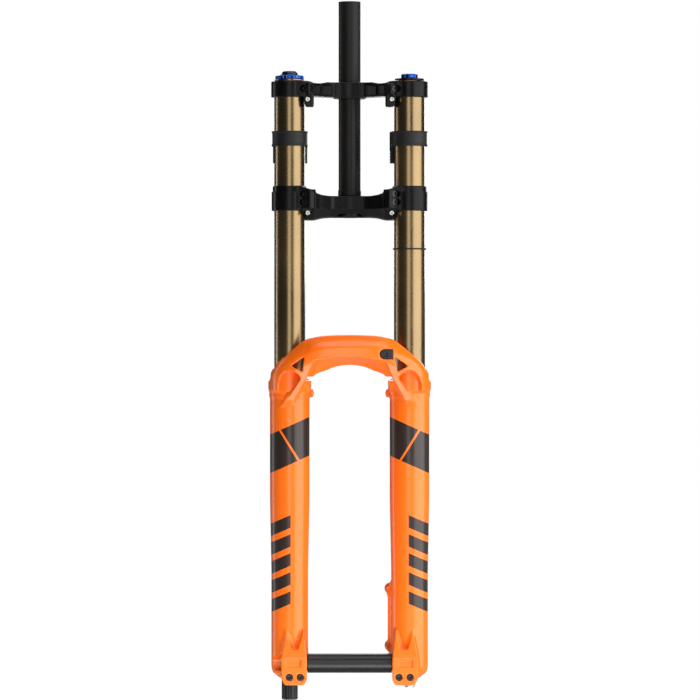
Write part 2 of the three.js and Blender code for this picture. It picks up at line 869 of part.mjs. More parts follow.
class Helix extends THREE.Curve {
  constructor(radius, bottom, top, turns) {
    super();
    Object.assign(this, { radius, bottom, top, turns });
  }

  getPoint(t) {
    const angle = t * this.turns * 2 * Math.PI;
    const z = this.bottom + t * (this.top - this.bottom);
    return new THREE.Vector3(this.radius * Math.cos(angle), this.radius * Math.sin(angle), z);
  }
}

// A helical spring that fills the height from bottom to top.
function coil(radius, wire, bottom, top, turns) {
  const sides = 5;
  const corners = [];
  for (let i = 0; i < sides; i++) {
    const angle = (i / sides) * 2 * Math.PI;
    corners.push([wire * Math.cos(angle), wire * Math.sin(angle)]);
  }
  const extrudePath = new Helix(radius, bottom + wire, top - wire, turns);
  const settings = { extrudePath, steps: turns * 10, bevelEnabled: false };
  return solid(new THREE.ExtrudeGeometry(outline(corners), settings));
}

// A rubber frame bumper: a strap round the stanchion and a ribbed pad that hangs behind it.
function bumper(padTurn) {
  const boreR = STANCHION.r + GAP;
  const strap = turned(
    [
      [boreR, 64],
      [23.8, 64],
      [22.6, 67.5],
      [22.6, 80],
      [23.8, 83.2],
      [boreR, 83.2],
    ],
    24,
  );
  const wrap = ring(29, boreR, 42.4, 83.2, 24);
  const ribs = [0, 1, 2, 3].map((i) => ring(31, 27.4, 44 + 4 * i, 46 + 4 * i, 24));
  const pad = without(wrap, ribs).intersect(block([-22, 4, 40], [22, 34, 90]));
  return joined([strap, pad]).rotate([0, 0, padTurn]);
}

function stanchionTube() {
  const { r, boreR, top, foot } = STANCHION;
  return turned([
    [boreR, foot],
    [r - 0.6, foot],
    [r, foot + 1.5],
    [r, top - 0.6],
    [r - 0.5, top],
    [boreR, top],
  ]);
}

function wiperSeal() {
  const boreR = STANCHION.r + GAP;
  return turned([
    [boreR, -250.3],
    [WIPER_SEAT_R - GAP, -250.3],
    [WIPER_SEAT_R - GAP, COLLAR_TOP + GAP],
    [25.2, COLLAR_TOP + GAP],
    [24.8, -236.6],
    [STANCHION.r + 1.4, -235.8],
    [boreR, -236.4],
  ]);
}

function damperTopCap() {
  const spindleR = 4;
  return turned([
    [0, 128],
    [STANCHION.boreR - GAP, 128],
    [STANCHION.boreR - GAP, STANCHION.top],
    [19.7, STANCHION.top + GAP],
    [19.7, 149.6],
    [19.2, 150],
    [spindleR, 150],
    [spindleR, 159],
    [0, 159],
  ]);
}

function highSpeedDial() {
  const rim = plate(toothed(18.6, 17.7, 24), 150.3, 155);
  return joined([rim, ring(13, 9, 154, 156.2, 24)]).subtract(disc(DIAL_BORE_R, 150, 157, SMALL));
}

function lowSpeedDial() {
  return turned([
    [DIAL_BORE_R, 156.5],
    [10.6, 156.5],
    [10.6, 158.3],
    [8.6, 160.6],
    [6.4, 161.2],
    [DIAL_BORE_R, 161.2],
  ]);
}

// The compression damping base: a lower valve, a stem and an upper guide that bear on the cartridge.
function compressionBase() {
  const stemR = 4;
  return turned(
    [
      [0, -100],
      [PISTON_R, -100],
      [PISTON_R, -92],
      [PISTON_R - 1.9, -91],
      [PISTON_R - 1.9, -89],
      [PISTON_R, -88],
      [PISTON_R, -82],
      [stemR, -82],
      [stemR, 20],
      [PISTON_R, 20],
      [PISTON_R, 24],
      [stemR, 24],
      [stemR, CARTRIDGE.top],
      [0, CARTRIDGE.top],
    ],
    SLIM,
  );
}

function airTopCap() {
  const wellR = 4.2;
  const neckR = 6;
  return turned([
    [0, 132],
    [STANCHION.boreR - GAP, 132],
    [STANCHION.boreR - GAP, STANCHION.top],
    [19, STANCHION.top + GAP],
    [19, 150.4],
    [18.2, 151.2],
    [neckR, 151.2],
    [neckR, 155],
    [wellR, 155],
    [wellR, 140],
    [0, 140],
  ]);
}

const valveCore = () => joined([disc(3.9, 140.3, 153.5, SMALL), disc(1, 150, 155.2, SMALL)]);

const valveCap = () =>
  plate(toothed(10.85, 10.1, 8), 151.5, 157.3).subtract(disc(6.3, 151, 155.5, 24));

const sealHead = () =>
  ring(STANCHION.boreR - GAP, SHAFT_R + GAP, STANCHION.foot + 0.4, SEAL_TOP, INNER);

// A hollow axle: open on the air side, with a hexagon socket in its damper end.
function axleBody() {
  return without(alongAxle(AXLE_R, -AXLE_HALF, AXLE_HALF), [
    alongAxle(6.5, -AXLE_HALF + 16, AXLE_HALF + 1, 24),
    alongAxle(3.5, -AXLE_HALF - 1, -AXLE_HALF + 10, 6),
  ]);
}

const sleeveBody = () =>
  alongAxle(12.5, -SLEEVE_HALF, SLEEVE_HALF).subtract(
    alongAxle(AXLE_R + GAP, -SLEEVE_HALF - 1, SLEEVE_HALF + 1),
  );

// A shaft that stands on the leg's floor, with a spigot on top for its piston and a bored foot.
function shaft(shoulder, top, boreR) {
  const corners = [
    [FOOT_HOLE_R, LEG_FLOOR + GAP],
    [SHAFT_R, LEG_FLOOR + GAP],
    [SHAFT_R, shoulder],
    [SHAFT_SPIGOT_R, shoulder],
    [SHAFT_SPIGOT_R, top],
    [boreR, top],
    [boreR, -556],
    [FOOT_HOLE_R, -556],
  ];
  return turned(corners, SLIM);
}

// A foot bolt: its head hangs below the leg and its shank runs up into the shaft.
function footBolt(headR, headBottom, boreR) {
  const corners = [
    [boreR, headBottom],
    [headR, headBottom],
    [headR, LEG_BOTTOM - GAP],
    [FOOT_HOLE_R - GAP, LEG_BOTTOM - GAP],
    [FOOT_HOLE_R - GAP, -558],
    [boreR, -558],
  ];
  return turned(corners, SLIM);
}

const airFootBolt = () =>
  footBolt(6.4, -634.3, 0).subtract(rod(2.9, [0, 0, -640], [0, 0, -630], 6));

// The ribbed cap under the damper leg, which the rider turns to set the rebound.
const reboundDial = () =>
  plate(toothed(10.4, 9.7, 16), -650.3, -623).subtract(disc(8.4, -640, -620, SLIM));

// ---- build: uppers ----
place("steerer_tube", steererTube(), "steererBlack");
place("upper_crown", upperCrown(), "blackAnodised");
place("lower_crown", lowerCrown(), "blackAnodised");
placeScrew("steerer_bolt", ...steererBoltEnds, 1);

for (const side of SIDES) {
  const who = sideName(side);
  const at = legPosition(side);
  place(`${who}_stanchion`, stanchionTube(), "gold", at);
  placeScrew(`upper_bolt_${who}`, ...upperBoltEnds(side), 1);
  LOWER_CROWN.boltZ.forEach((z, i) => {
    placeScrew(`lower_bolt_${who}_${i + 1}`, ...lowerBoltEnds(side, z), 1);
  });
  for (const crown of ["upper", "lower"]) {
    const name = `guide_screw_${crown}_${who}`;
    placeScrew(name, ...guideScrewEnds(side, crown), 1, GUIDE_SCREW, "steel");
  }
  place(`${who}_bumper`, bumper(side === DAMPER ? -2.6 : 14), "rubber", at);
  place(`${who}_seal_head`, sealHead(), "blackAnodised", at);
}

// ---- build: damper side ----
const { outer: cartridgeR, inner: cartridgeBoreR, bottom: cartridgeFoot, top: cartridgeTop } = CARTRIDGE;
const cartridge = ring(cartridgeR, cartridgeBoreR, cartridgeFoot, cartridgeTop, INNER);
const damperAt = legPosition(DAMPER);
place("damper_top_cap", damperTopCap(), "gold", damperAt);
place("high_speed_dial", highSpeedDial(), "blue", damperAt);
place("low_speed_dial", lowSpeedDial(), "plastic", damperAt);
place("cartridge_tube", cartridge, "steel", damperAt);
place("compression_base", compressionBase(), "steel", damperAt);
place("floating_piston", ring(PISTON_R, PISTON_BORE_R, -60, -46, SLIM), "plastic", damperAt);
place("piston_spring", coil(9, 1, -45.6, 19.7, 7), "steel", damperAt);

// ---- build: air side ----
const airAt = legPosition(AIR);
place("air_top_cap", airTopCap(), "blackAnodised", airAt);
place("valve_core", valveCore(), "steel", airAt);
place("air_valve_cap", valveCap(), "blue", airAt);
for (const i of [1, 2]) {
  const spacer = ring(15, 4, 132 - 20 * i, 151.7 - 20 * i, 12);
  place(`volume_spacer_${i}`, spacer, "plastic", airAt);
}
const sagRing = ring(
  SAG_RING.r,
  STANCHION.r + 0.2,
  SAG_RING.z - SAG_RING.half,
  SAG_RING.z + SAG_RING.half,
);
place("sag_ring", sagRing, "rubber", airAt);

// ---- build: lowers ----
place("lower_casting", lowerCasting(), "orange");

const bushing = (bottom, top) =>
  ring(BUSHING_SEAT_R - GAP, STANCHION.r + GAP, bottom, top, INNER);
const foamRing = () =>
  ring(WIPER_SEAT_R - GAP, STANCHION.r + GAP, WIPER_FLOOR + GAP, -250.6, INNER);

for (const side of SIDES) {
  const who = sideName(side);
  const at = legPosition(side);
  place(`${who}_bushing_upper`, bushing(-285, -262), "bushing", at);
  place(`${who}_bushing_lower`, bushing(-366, -344), "bushing", at);
  place(`${who}_foam_ring`, foamRing(), "foam", at);
  place(`${who}_wiper`, wiperSeal(), "rubber", at);
  PINCH.x.forEach((x, i) => {
    placeScrew(`axle_pinch_bolt_${who}_${i + 1}`, ...pinchBoltEnds(side, x), 1);
  });
  const bleeder = rod(BLEEDER.r, bleederAt(side, 26), bleederAt(side, 32.4));
  place(`${who}_bleeder`, bleeder, "plastic");
}

place("axle", axleBody(), "blackAnodised");
place("axle_sleeve", sleeveBody(), "plastic");
const clip = frontPlate(hoseGuideOutline(0), HOSE_GUIDE.front, HOSE_GUIDE.back);
place("hose_guide", clip, "plastic");

const airPiston = ring(STANCHION.boreR - GAP, PISTON_BORE_R, -329.7, -316, INNER);
place("damper_shaft", shaft(-350, -335, 2.4), "steel", damperAt);
place("rebound_piston", ring(PISTON_R, PISTON_BORE_R, -349.7, -337, SLIM), "steel", damperAt);
place("damper_foot_bolt", footBolt(8, -624, 2.4), "blackSteel", damperAt);
place("rebound_dial", reboundDial(), "plastic", damperAt);
place("rebound_rod", disc(2, -639.7, -345, SLIM), "steel", damperAt);
place("air_shaft", shaft(-330, -314, 1.2), "steel", airAt);
place("air_piston", airPiston, "plastic", airAt);
place("air_foot_bolt", airFootBolt(), "steel", airAt);
place("topout_spring", coil(10, 1.6, SEAL_TOP + GAP, -330.2, 4), "steel", airAt);

export default fork;
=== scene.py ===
import json
import math

import bpy
import numpy as np
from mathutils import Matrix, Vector

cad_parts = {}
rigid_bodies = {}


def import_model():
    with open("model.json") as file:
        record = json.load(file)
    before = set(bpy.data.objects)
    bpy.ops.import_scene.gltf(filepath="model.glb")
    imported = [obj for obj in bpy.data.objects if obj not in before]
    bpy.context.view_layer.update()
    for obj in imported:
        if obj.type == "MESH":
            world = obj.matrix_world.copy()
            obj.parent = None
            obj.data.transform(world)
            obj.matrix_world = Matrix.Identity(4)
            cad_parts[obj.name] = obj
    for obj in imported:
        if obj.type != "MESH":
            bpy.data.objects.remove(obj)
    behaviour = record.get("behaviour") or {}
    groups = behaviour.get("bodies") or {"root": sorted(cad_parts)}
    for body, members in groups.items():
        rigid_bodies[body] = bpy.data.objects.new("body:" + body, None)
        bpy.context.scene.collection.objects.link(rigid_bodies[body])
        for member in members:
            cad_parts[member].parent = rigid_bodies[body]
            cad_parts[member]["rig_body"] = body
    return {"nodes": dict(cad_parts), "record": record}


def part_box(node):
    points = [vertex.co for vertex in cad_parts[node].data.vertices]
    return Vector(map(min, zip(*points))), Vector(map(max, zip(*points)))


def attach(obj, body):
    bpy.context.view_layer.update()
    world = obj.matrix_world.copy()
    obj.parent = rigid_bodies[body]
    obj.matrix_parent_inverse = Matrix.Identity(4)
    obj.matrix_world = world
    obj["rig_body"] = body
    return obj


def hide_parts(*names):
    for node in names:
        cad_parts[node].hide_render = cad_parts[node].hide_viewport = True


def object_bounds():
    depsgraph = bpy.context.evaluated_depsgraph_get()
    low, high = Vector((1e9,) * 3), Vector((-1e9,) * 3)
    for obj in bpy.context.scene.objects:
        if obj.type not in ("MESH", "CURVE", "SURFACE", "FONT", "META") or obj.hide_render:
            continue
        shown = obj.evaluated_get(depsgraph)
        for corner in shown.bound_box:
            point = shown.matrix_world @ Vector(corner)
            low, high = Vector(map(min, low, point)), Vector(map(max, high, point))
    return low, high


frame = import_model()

# A dual-crown suspension fork, built round its CAD frame. Shapes are worked out in millimetres
# in the frame's axes: +Z up, the front faces -Y, and +X is the air and brake side.
MM = 0.001
CAD_BOX = [list(corner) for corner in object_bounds()]
SIDES = {"damper": -1, "air": 1}


# ---- what the frame says ----
def box_mm(node):
    """Lowest and highest corner of a CAD node, in millimetres."""
    low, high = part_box(node)
    return np.array(low) / MM, np.array(high) / MM


def corners_mm(node):
    return np.array([v.co for v in frame["nodes"][node].data.vertices]) / MM


def upright(node):
    """Axis, outer radius, bottom and top of a round node that stands along Z."""
    low, high = box_mm(node)
    return (low[:2] + high[:2]) / 2, (high[1] - low[1]) / 2, low[2], high[2]


LEG = {who: upright(f"{who}_stanchion")[0] for who in SIDES}
LEG_X, LEG_Y = LEG["air"]
STANCHION_R = upright("air_stanchion")[1]
RACE_SEAT_STEP = 0.7  # the bearing seat at the steerer's foot stands this far out of the tube
STEERER_R = upright("steerer_tube")[1] - RACE_SEAT_STEP
UPPER_LOW, UPPER_HIGH = box_mm("upper_crown")
LOWER_LOW, LOWER_HIGH = box_mm("lower_crown")
AXLE_LOW, AXLE_HIGH = box_mm("axle")
AXLE_Y = (AXLE_LOW[1] + AXLE_HIGH[1]) / 2
AXLE_Z = (AXLE_LOW[2] + AXLE_HIGH[2]) / 2
AXLE_R = (AXLE_HIGH[1] - AXLE_LOW[1]) / 2
COLLAR_TOP = -238.3  # top of the collars that hold the wipers
GAP = 0.3  # clearance round a piece that sits in another


# ---- meshes ----
def mesh_object(name, points, faces, normals=None):
    """A smooth object from points in millimetres."""
    mesh = bpy.data.meshes.new(name)
    mesh.from_pydata((np.asarray(points) * MM).tolist(), [], faces)
    mesh.polygons.foreach_set("use_smooth", [True] * len(mesh.polygons))
    if normals is not None:
        mesh.normals_split_custom_set_from_vertices(normals.tolist())
    made = bpy.data.objects.new(name, mesh)
    bpy.context.scene.collection.objects.link(made)
    return made


def crisp(made, degrees=32):
    """Flat faces stay flat and only the small roundings between them shade smoothly."""
    made.data.set_sharp_from_angle(angle=math.radians(degrees))
    made.modifiers.new("weighted", "WEIGHTED_NORMAL").keep_sharp = True
    return made


def rounded(profile, radius, per_corner=4):
    """A closed outline with each corner rounded, by less where its sides are short."""
    points = np.array(profile, float)
    result = []
    for before, corner, after in zip(np.roll(points, 1, 0), points, np.roll(points, -1, 0)):
        to_before, to_after = before - corner, after - corner
        reach = min(radius, 0.45 * np.linalg.norm(to_before), 0.45 * np.linalg.norm(to_after))
        start = corner + to_before / np.linalg.norm(to_before) * reach
        end = corner + to_after / np.linalg.norm(to_after) * reach
        for t in np.linspace(0, 1, per_corner):
            result.append((1 - t) ** 2 * start + 2 * t * (1 - t) * corner + t * t * end)
    return result


def loft(name, rings, axis=(0, 0), segments=96, closed=False):
    """Rings about Z: each is (radius, z), with one radius or one for each segment. A radius
    of 0 is a pole. A closed loft joins its last ring to its first, as a tube does."""
    angles = np.arange(segments) / segments * 2 * math.pi
    points, faces, rows = [], [], []
    for radius, z in rings:
        if np.isscalar(radius) and radius < 1e-6:
            rows.append([len(points)])
            points.append((axis[0], axis[1], z))
            continue
        r = np.broadcast_to(radius, segments)
        rows.append(list(range(len(points), len(points) + segments)))
        for a, reach in zip(angles, r):
            points.append((axis[0] + reach * math.cos(a), axis[1] + reach * math.sin(a), z))
    pairs = list(zip(rows, rows[1:] + rows[:1]))
    for lower, upper in pairs if closed else pairs[:-1]:
        for i in range(segments):
            j = (i + 1) % segments
            ring = [lower[i % len(lower)], lower[j % len(lower)]]
            ring += [upper[j % len(upper)], upper[i % len(upper)]]
            face = list(dict.fromkeys(ring))
            if len(face) > 2:
                faces.append(face)
    return mesh_object(name, points, faces)


def turned(name, profile, axis=(0, 0), radius=0.5, segments=96):
    """A closed profile of (r, z) corners, outer side upwards, turned about Z."""
    return crisp(loft(name, [tuple(p) for p in rounded(profile, radius)], axis, segments, True))


def polygon_radii(apothem, sides, segments):
    """Radii of a regular polygon at each segment."""
    angles = np.arange(segments) / segments * 2 * math.pi
    sector = 2 * math.pi / sides
    return apothem / np.cos((angles + sector / 2) % sector - sector / 2)


def toothed_radii(outer, inner, teeth, segments):
    """Radii of a rim with soft teeth."""
    wave = np.cos(np.arange(segments) / segments * 2 * math.pi * teeth)
    return inner + (outer - inner) * np.clip(0.5 + 1.1 * wave, 0, 1)


def along(made, point, direction):
    """Turns a part built along +Z so that it points along `direction` from `point`."""
    turn = Vector((0, 0, 1)).rotation_difference(Vector(direction))
    made.rotation_mode = "QUATERNION"
    made.rotation_quaternion = turn
    made.location = Vector(point) * MM
    bpy.context.view_layer.update()
    made.data.transform(made.matrix_world)
    made.matrix_world.identity()
    return made


# ---- distance fields: negative inside, in millimetres ----
FAR = 1e3  # the field of a part that is not near


def union(a, b, fillet):
    """Both shapes, with a fillet of this radius where they meet."""
    reach = np.hypot(np.maximum(fillet - a, 0), np.maximum(fillet - b, 0))
    return np.maximum(fillet, np.minimum(a, b)) - reach


def common(a, b, edge=0.0):
    """What both shapes share, with its edges rounded by this radius."""
    if not edge:
        return np.maximum(a, b)
    reach = np.hypot(np.maximum(edge + a, 0), np.maximum(edge + b, 0))
    return np.minimum(-edge, np.maximum(a, b)) + reach


def cut(a, b, edge):
    return common(a, -b, edge)


def between(v, low, high):
    return np.maximum(low - v, v - high)


def outline(points, u, v):
    """Signed distance from (u, v) to a closed outline."""
    shape = np.broadcast(u, v).shape
    best = np.full(shape, np.inf)
    inside = np.zeros(shape, bool)
    points = np.asarray(points, float)
    for (au, av), (bu, bv) in zip(points, np.roll(points, -1, 0)):
        du, dv = bu - au, bv - av
        t = np.clip(((u - au) * du + (v - av) * dv) / (du * du + dv * dv), 0, 1)
        best = np.minimum(best, (u - au - du * t) ** 2 + (v - av - dv * t) ** 2)
        if dv:
            crossing = (av <= v) != (bv <= v)
            inside ^= crossing & (u < au + (v - av) * du / dv)
    return np.where(inside, -1, 1) * np.sqrt(best)


def rod(x, y, z, start, end, r0, r1=None):
    """A round rod with flat ends that tapers from r0 to r1."""
    start, end = np.array(start, float), np.array(end, float)
    length = np.linalg.norm(end - start)
    d = (end - start) / length
    t = (x - start[0]) * d[0] + (y - start[1]) * d[1] + (z - start[2]) * d[2]
    away = (x - start[0]) ** 2 + (y - start[1]) ** 2 + (z - start[2]) ** 2 - t * t
    radius = r0 + ((r0 if r1 is None else r1) - r0) * np.clip(t / length, 0, 1)
    return common(np.sqrt(np.maximum(away, 0)) - radius, between(t, 0, length))


def spline(points, per_span):
    """A Catmull-Rom curve through the points."""
    p = np.array(points, float)
    p = np.vstack([2 * p[0] - p[1], p, 2 * p[-1] - p[-2]])
    curve = []
    for a, b, c, d in zip(p, p[1:], p[2:], p[3:]):
        for t in np.arange(per_span) / per_span:
            curve.append(0.5 * (2 * b + (c - a) * t + (2 * a - 5 * b + 4 * c - d) * t**2
                                + (3 * b - a - 3 * c + d) * t**3))
    return curve + [p[-2]]


def both_sides(half):
    """A curve given for the air side, continued to the damper side."""
    return half + [(-x, v) for x, v in reversed(half) if x]


def near(z, low, high, make):
    """A part's field, worked out only for heights that come near it."""
    return FAR if np.min(z) > high or np.max(z) < low else make()


def steps(*stretches):
    """Grid lines from (start, end, spacing) stretches that follow each other."""
    lines = [np.arange(a, b, s) for a, b, s in stretches]
    return np.concatenate(lines + [[stretches[-1][1]]])


def in_slabs(field, x, y, z, size=20000):
    """The field at many points, taken in order of height so that near() can skip parts."""
    order = np.argsort(z)
    values = np.empty(len(z))
    for i in range(0, len(z), size):
        part = order[i:i + size]
        values[part] = field(x[part], y[part], z[part])
    return values


def slope_of(field, p, values, h=0.02):
    """The field's slope at many points, by a small step along each axis."""
    moved = [in_slabs(field, *(p + np.eye(3)[:, [i]] * h)) for i in range(3)]
    return (np.array(moved) - values) / h


def surface_cells(inside):
    """The grid cells that the surface passes through, and each cell's place in that list."""
    shape = np.array(inside.shape) - 1
    corners = [(i, j, k) for i in (0, 1) for j in (0, 1) for k in (0, 1)]
    total = sum(inside[i:i + shape[0], j:j + shape[1], k:k + shape[2]].astype(np.uint8)
                for i, j, k in corners)
    cells = np.argwhere((total > 0) & (total < len(corners)))
    number = np.full(shape, -1, np.int64)
    number[tuple(cells.T)] = np.arange(len(cells))
    return cells, number


def crossings(values, inside, lines, a):
    """The grid edges along axis a that cross the surface: low ends and crossing points."""
    low, high = [slice(None)] * 3, [slice(None)] * 3
    low[a], high[a] = slice(0, -1), slice(1, None)
    base = np.argwhere(inside[tuple(low)] != inside[tuple(high)])
    after = base + np.eye(3, dtype=int)[a]
    start, end = values[tuple(base.T)].astype(float), values[tuple(after.T)].astype(float)
    p = np.array([line[base[:, i]] for i, line in enumerate(lines)])
    p[a] += start / (start - end) * (lines[a][after[:, a]] - p[a])
    return base, p


def meeting_points(field, values, inside, lines, number, count):
    """For each cell, the point where the planes that touch the surface on its edges meet.
    A weak pull to the middle of the crossings settles it where the planes are nearly one."""
    pull = 0.06
    pairs = [(0, 0), (0, 1), (0, 2), (1, 1), (1, 2), (2, 2)]
    squares, hits = np.zeros((len(pairs), count)), np.zeros(count)
    right, middle = np.zeros((3, count)), np.zeros((3, count))
    for a in range(3):
        base, p = crossings(values, inside, lines, a)
        f = in_slabs(field, *p)
        g = slope_of(field, p, f)
        size = np.maximum(np.linalg.norm(g, axis=0), 1e-6)
        n = g / size
        reach = (n * p).sum(0) - f / size
        for db, dc in ((0, 0), (0, 1), (1, 0), (1, 1)):
            shift = np.zeros(3, int)
            shift[(a + 1) % 3], shift[(a + 2) % 3] = db, dc
            cell = number[tuple((base - shift).T)]
            for k, (i, j) in enumerate(pairs):
                squares[k] += np.bincount(cell, n[i] * n[j], count)
            for i in range(3):
                right[i] += np.bincount(cell, n[i] * reach, count)
                middle[i] += np.bincount(cell, p[i], count)
            hits += np.bincount(cell, minlength=count)
    middle /= hits
    matrix = np.zeros((count, 3, 3))
    for k, (i, j) in enumerate(pairs):
        matrix[:, i, j] = matrix[:, j, i] = squares[k]
    matrix += np.eye(3) * pull * hits[:, None, None]
    right = right + pull * hits * middle
    return np.linalg.solve(matrix, right.T[:, :, None])[:, :, 0].T


def settled(field, p, spacing):
    """The points moved onto the surface in two short steps, and the surface's normals there."""
    for _ in range(2):
        f = in_slabs(field, *p)
        g = slope_of(field, p, f)
        step = f * g / np.maximum((g * g).sum(0), 0.2)
        length = np.sqrt((step * step).sum(0))
        p = p - step * np.minimum(1, 0.5 * spacing / np.maximum(length, 1e-9))
    normals = slope_of(field, p, in_slabs(field, *p))
    return p, normals / np.maximum(np.linalg.norm(normals, axis=0), 1e-9)


def surface_quads(inside, number):
    """One face for each grid edge that crosses the surface, between the cells round it."""
    quads = []
    for a in range(3):
        b, c = (a + 1) % 3, (a + 2) % 3
        low = [slice(1, -1)] * 3
        low[a] = slice(0, -1)
        high = list(low)
        high[a] = slice(1, None)
        first, second = inside[tuple(low)], inside[tuple(high)]
        base = np.argwhere(first != second)
        flip = second[tuple(base.T)]
        base[:, b] += 1
        base[:, c] += 1
        none, eb, ec = np.zeros(3, int), np.eye(3, dtype=int)[b], np.eye(3, dtype=int)[c]
        quad = np.array([number[tuple((base - s).T)] for s in (eb + ec, ec, none, eb)]).T
        quad[flip] = quad[flip][:, ::-1]
        quads.append(quad)
    return np.concatenate(quads).tolist()


def grown(name, field, xs, ys, zs, slab=24):
    """The surface where the field is 0, as a mesh of quads on the given grid lines."""
    values = np.empty((len(xs), len(ys), len(zs)), np.float32)
    for i in range(0, len(zs), slab):
        values[:, :, i:i + slab] = field(xs[:, None, None], ys[None, :, None],
                                         zs[None, None, i:i + slab])
    inside = values < 0
    lines = (xs, ys, zs)
    cells, number = surface_cells(inside)
    low = np.array([line[cells[:, i]] for i, line in enumerate(lines)])
    high = np.array([line[cells[:, i] + 1] for i, line in enumerate(lines)])
    p = np.clip(meeting_points(field, values, inside, lines, number, len(cells)), low, high)
    p, normals = settled(field, p, (high - low).min(0))
    return mesh_object(name, p.T, surface_quads(inside, number), normals.T)


# ---- the lower casting ----
# Tables of (z, radius) for the legs, outlines of (x, z) for the arch and (y, z) for its slopes.
LEG_RADII = [(-623, 11.6), (-615, 21.5), (-611, 23.1), (-606, 23.7), (-483, 23.7), (-392, 25.5),
             (-263, 25.5), (-258.6, 26.4), (-254, 26.4), (-249, 27.6), (-230, 27.6)]
BORE_RADII = [(-580, 17), (-576, 20.9), (-368, 20.9), (-367.9, 22.3), (-258.6, 22.3),
              (-258.5, 24.3), (-100, 24.3)]
CREST = [(104, -300), (104.2, -262), (104.6, -250), (105, -238), (103.4, -229), (97, -220),
         (89, -211.5), (80.3, -203.8), (68, -194), (57.6, -186.3), (46, -182.4), (34, -180.4),
         (18, -179.5), (0, -179.3)]
REAR_OPENING = [(64, -320), (60, -276), (55.5, -262), (51.9, -250), (48.8, -241.6), (44.3, -236),
                (35.6, -229.5), (27.4, -225.1), (16.3, -220.9), (0, -218.9)]
FRONT_OPENING = [(64, -320), (58, -272), (52.5, -254), (48.6, -242), (46.2, -233.3),
                 (45, -228), (41.5, -219.9), (35.6, -213.9), (23.7, -209.3), (0, -207.4)]
BESIDE_STRUT = [(20, -209.5), (45.2, -211), (50.4, -224.4), (57.1, -239.2), (65.3, -254),
                (77, -275), (20, -275)]
WINDOW = [(58, -207.6), (75.2, -219.6), (60.8, -227.4)]
POCKET = [(86, -270), (92.5, -270), (92, -242), (88.5, -231.5), (81.5, -225.6), (74, -225),
          (67.5, -228.5), (62.4, -235)]
STRUT_SLOPE = ((-89, -210), (-58, -270))
BESIDE_SLOPE = ((-89, -210), (-60, -238))
ARCH_REAR = -64
ARCH_FOOT = -252
STRUT_FOOT = -271
STRUT_EDGE = {"side": 77, "height": -252, "slope": 0.55}
WIPER_WALL = {"radius": 31, "rear": -44, "top": -222.5, "inner": 62}
OUTER_END = {"inner": 84, "rear": -54}
SHOULDER = {"inner": 50, "rear": -44}
WINDOW_REAR = -36
POCKET_REAR = -50
POCKET_FLOOR = 29.2
LEG_FOOT = -622.6
BORE_FLOOR = -580
FIN_TOP = -558
FINS = [(81.5, FIN_TOP), (74.6, -584), (66.8, -584), (59.5, FIN_TOP)]
DROPOUT = {"inner": 54.8, "outer": 88, "front": -72, "rear": -45.6, "top": -594.8,
           "bottom": -629.8}
HUB_SEAT_R = 15
PANEL = {"inner": 63, "outer": 81, "top": -596.6, "bottom": -606.2, "depth": 1.6}
POST = {"x": 52.2, "y": 2, "z": (-508.3, -582.5), "root": 9.5, "face": 7.4, "hole": 2.7,
        "depth": 18}
POST_WEB = [(49.2, -28), (66, -28), (60.2, -8), (53.2, -8)]
BLEEDER_TURN = math.radians(20)


def on_curve(table, z):
    heights, radii = zip(*table)
    return np.interp(z, heights, radii)


def leg_distance(x, y):
    """Distance from the nearer leg's axis."""
    return np.hypot(np.abs(x) - LEG_X, y - LEG_Y)


def leg_field(x, y, z):
    """Both legs with their collars, without their bores."""
    away = leg_distance(x, y) - on_curve(LEG_RADII, z)
    return common(away, between(z, LEG_FOOT, COLLAR_TOP), 1.4)


def bore_field(x, y, z):
    """The legs' bores, the holes for the foot bolts and the seats for their heads."""
    away = leg_distance(x, y)
    bore = np.maximum(away - on_curve(BORE_RADII, z), BORE_FLOOR - z)
    foot = np.maximum(away - 4.2, z - (BORE_FLOOR + 10))
    seat = np.maximum(away - 9.2, z + 617)
    return np.minimum(bore, np.minimum(foot, seat))


def arch_front_surface(x, y, depth):
    """Distance past the arch's front, which is a flat oval seen from above. Its face rolls
    back towards the crest, by less at the outer ends. `depth` is how far below the crest."""
    side = np.abs(x)
    power, half_width, reach, middle = 2.7, 105.1, 66, -24
    amount = np.interp(side, (55, 92), (19, 7))
    roll = amount * np.clip(1 - depth / (amount * 1.05), 0, 1) ** 2
    u = side / half_width
    v = np.maximum(middle - y + roll, 0) / reach
    size = np.maximum((u**power + v**power) ** (1 / power), 1e-6)
    slope = np.hypot((u / size) ** (power - 1) / half_width, (v / size) ** (power - 1) / reach)
    return (size - 1) / np.maximum(slope, 1e-4)


def ahead_of_line(y, z, start, end):
    """Distance in front of the slanted plane through two (y, z) points, the upper one first."""
    dy, dz = end[0] - start[0], end[1] - start[1]
    return ((y - start[0]) * dz - (z - start[1]) * dy) / math.hypot(dy, dz)


def arch_rear_field(side, x, y, z):
    """What stands behind the arch's rear face is kept only round the wipers and at the ends."""
    wall = np.maximum(leg_distance(x, y) - WIPER_WALL["radius"], y - WIPER_WALL["rear"])
    wall = np.maximum(wall, np.maximum(z - WIPER_WALL["top"], WIPER_WALL["inner"] - side))
    outer_end = np.maximum(OUTER_END["inner"] - side, y - OUTER_END["rear"])
    shoulder = np.maximum(z - COLLAR_TOP, SHOULDER["inner"] - side)
    shoulder = np.maximum(shoulder, y - SHOULDER["rear"])
    return np.minimum(np.minimum(y - ARCH_REAR, wall), np.minimum(outer_end, shoulder))


def curved(half, x, z):
    """The field of a smooth outline, given for the air side only."""
    return outline(spline(both_sides(half), 5), x, z)


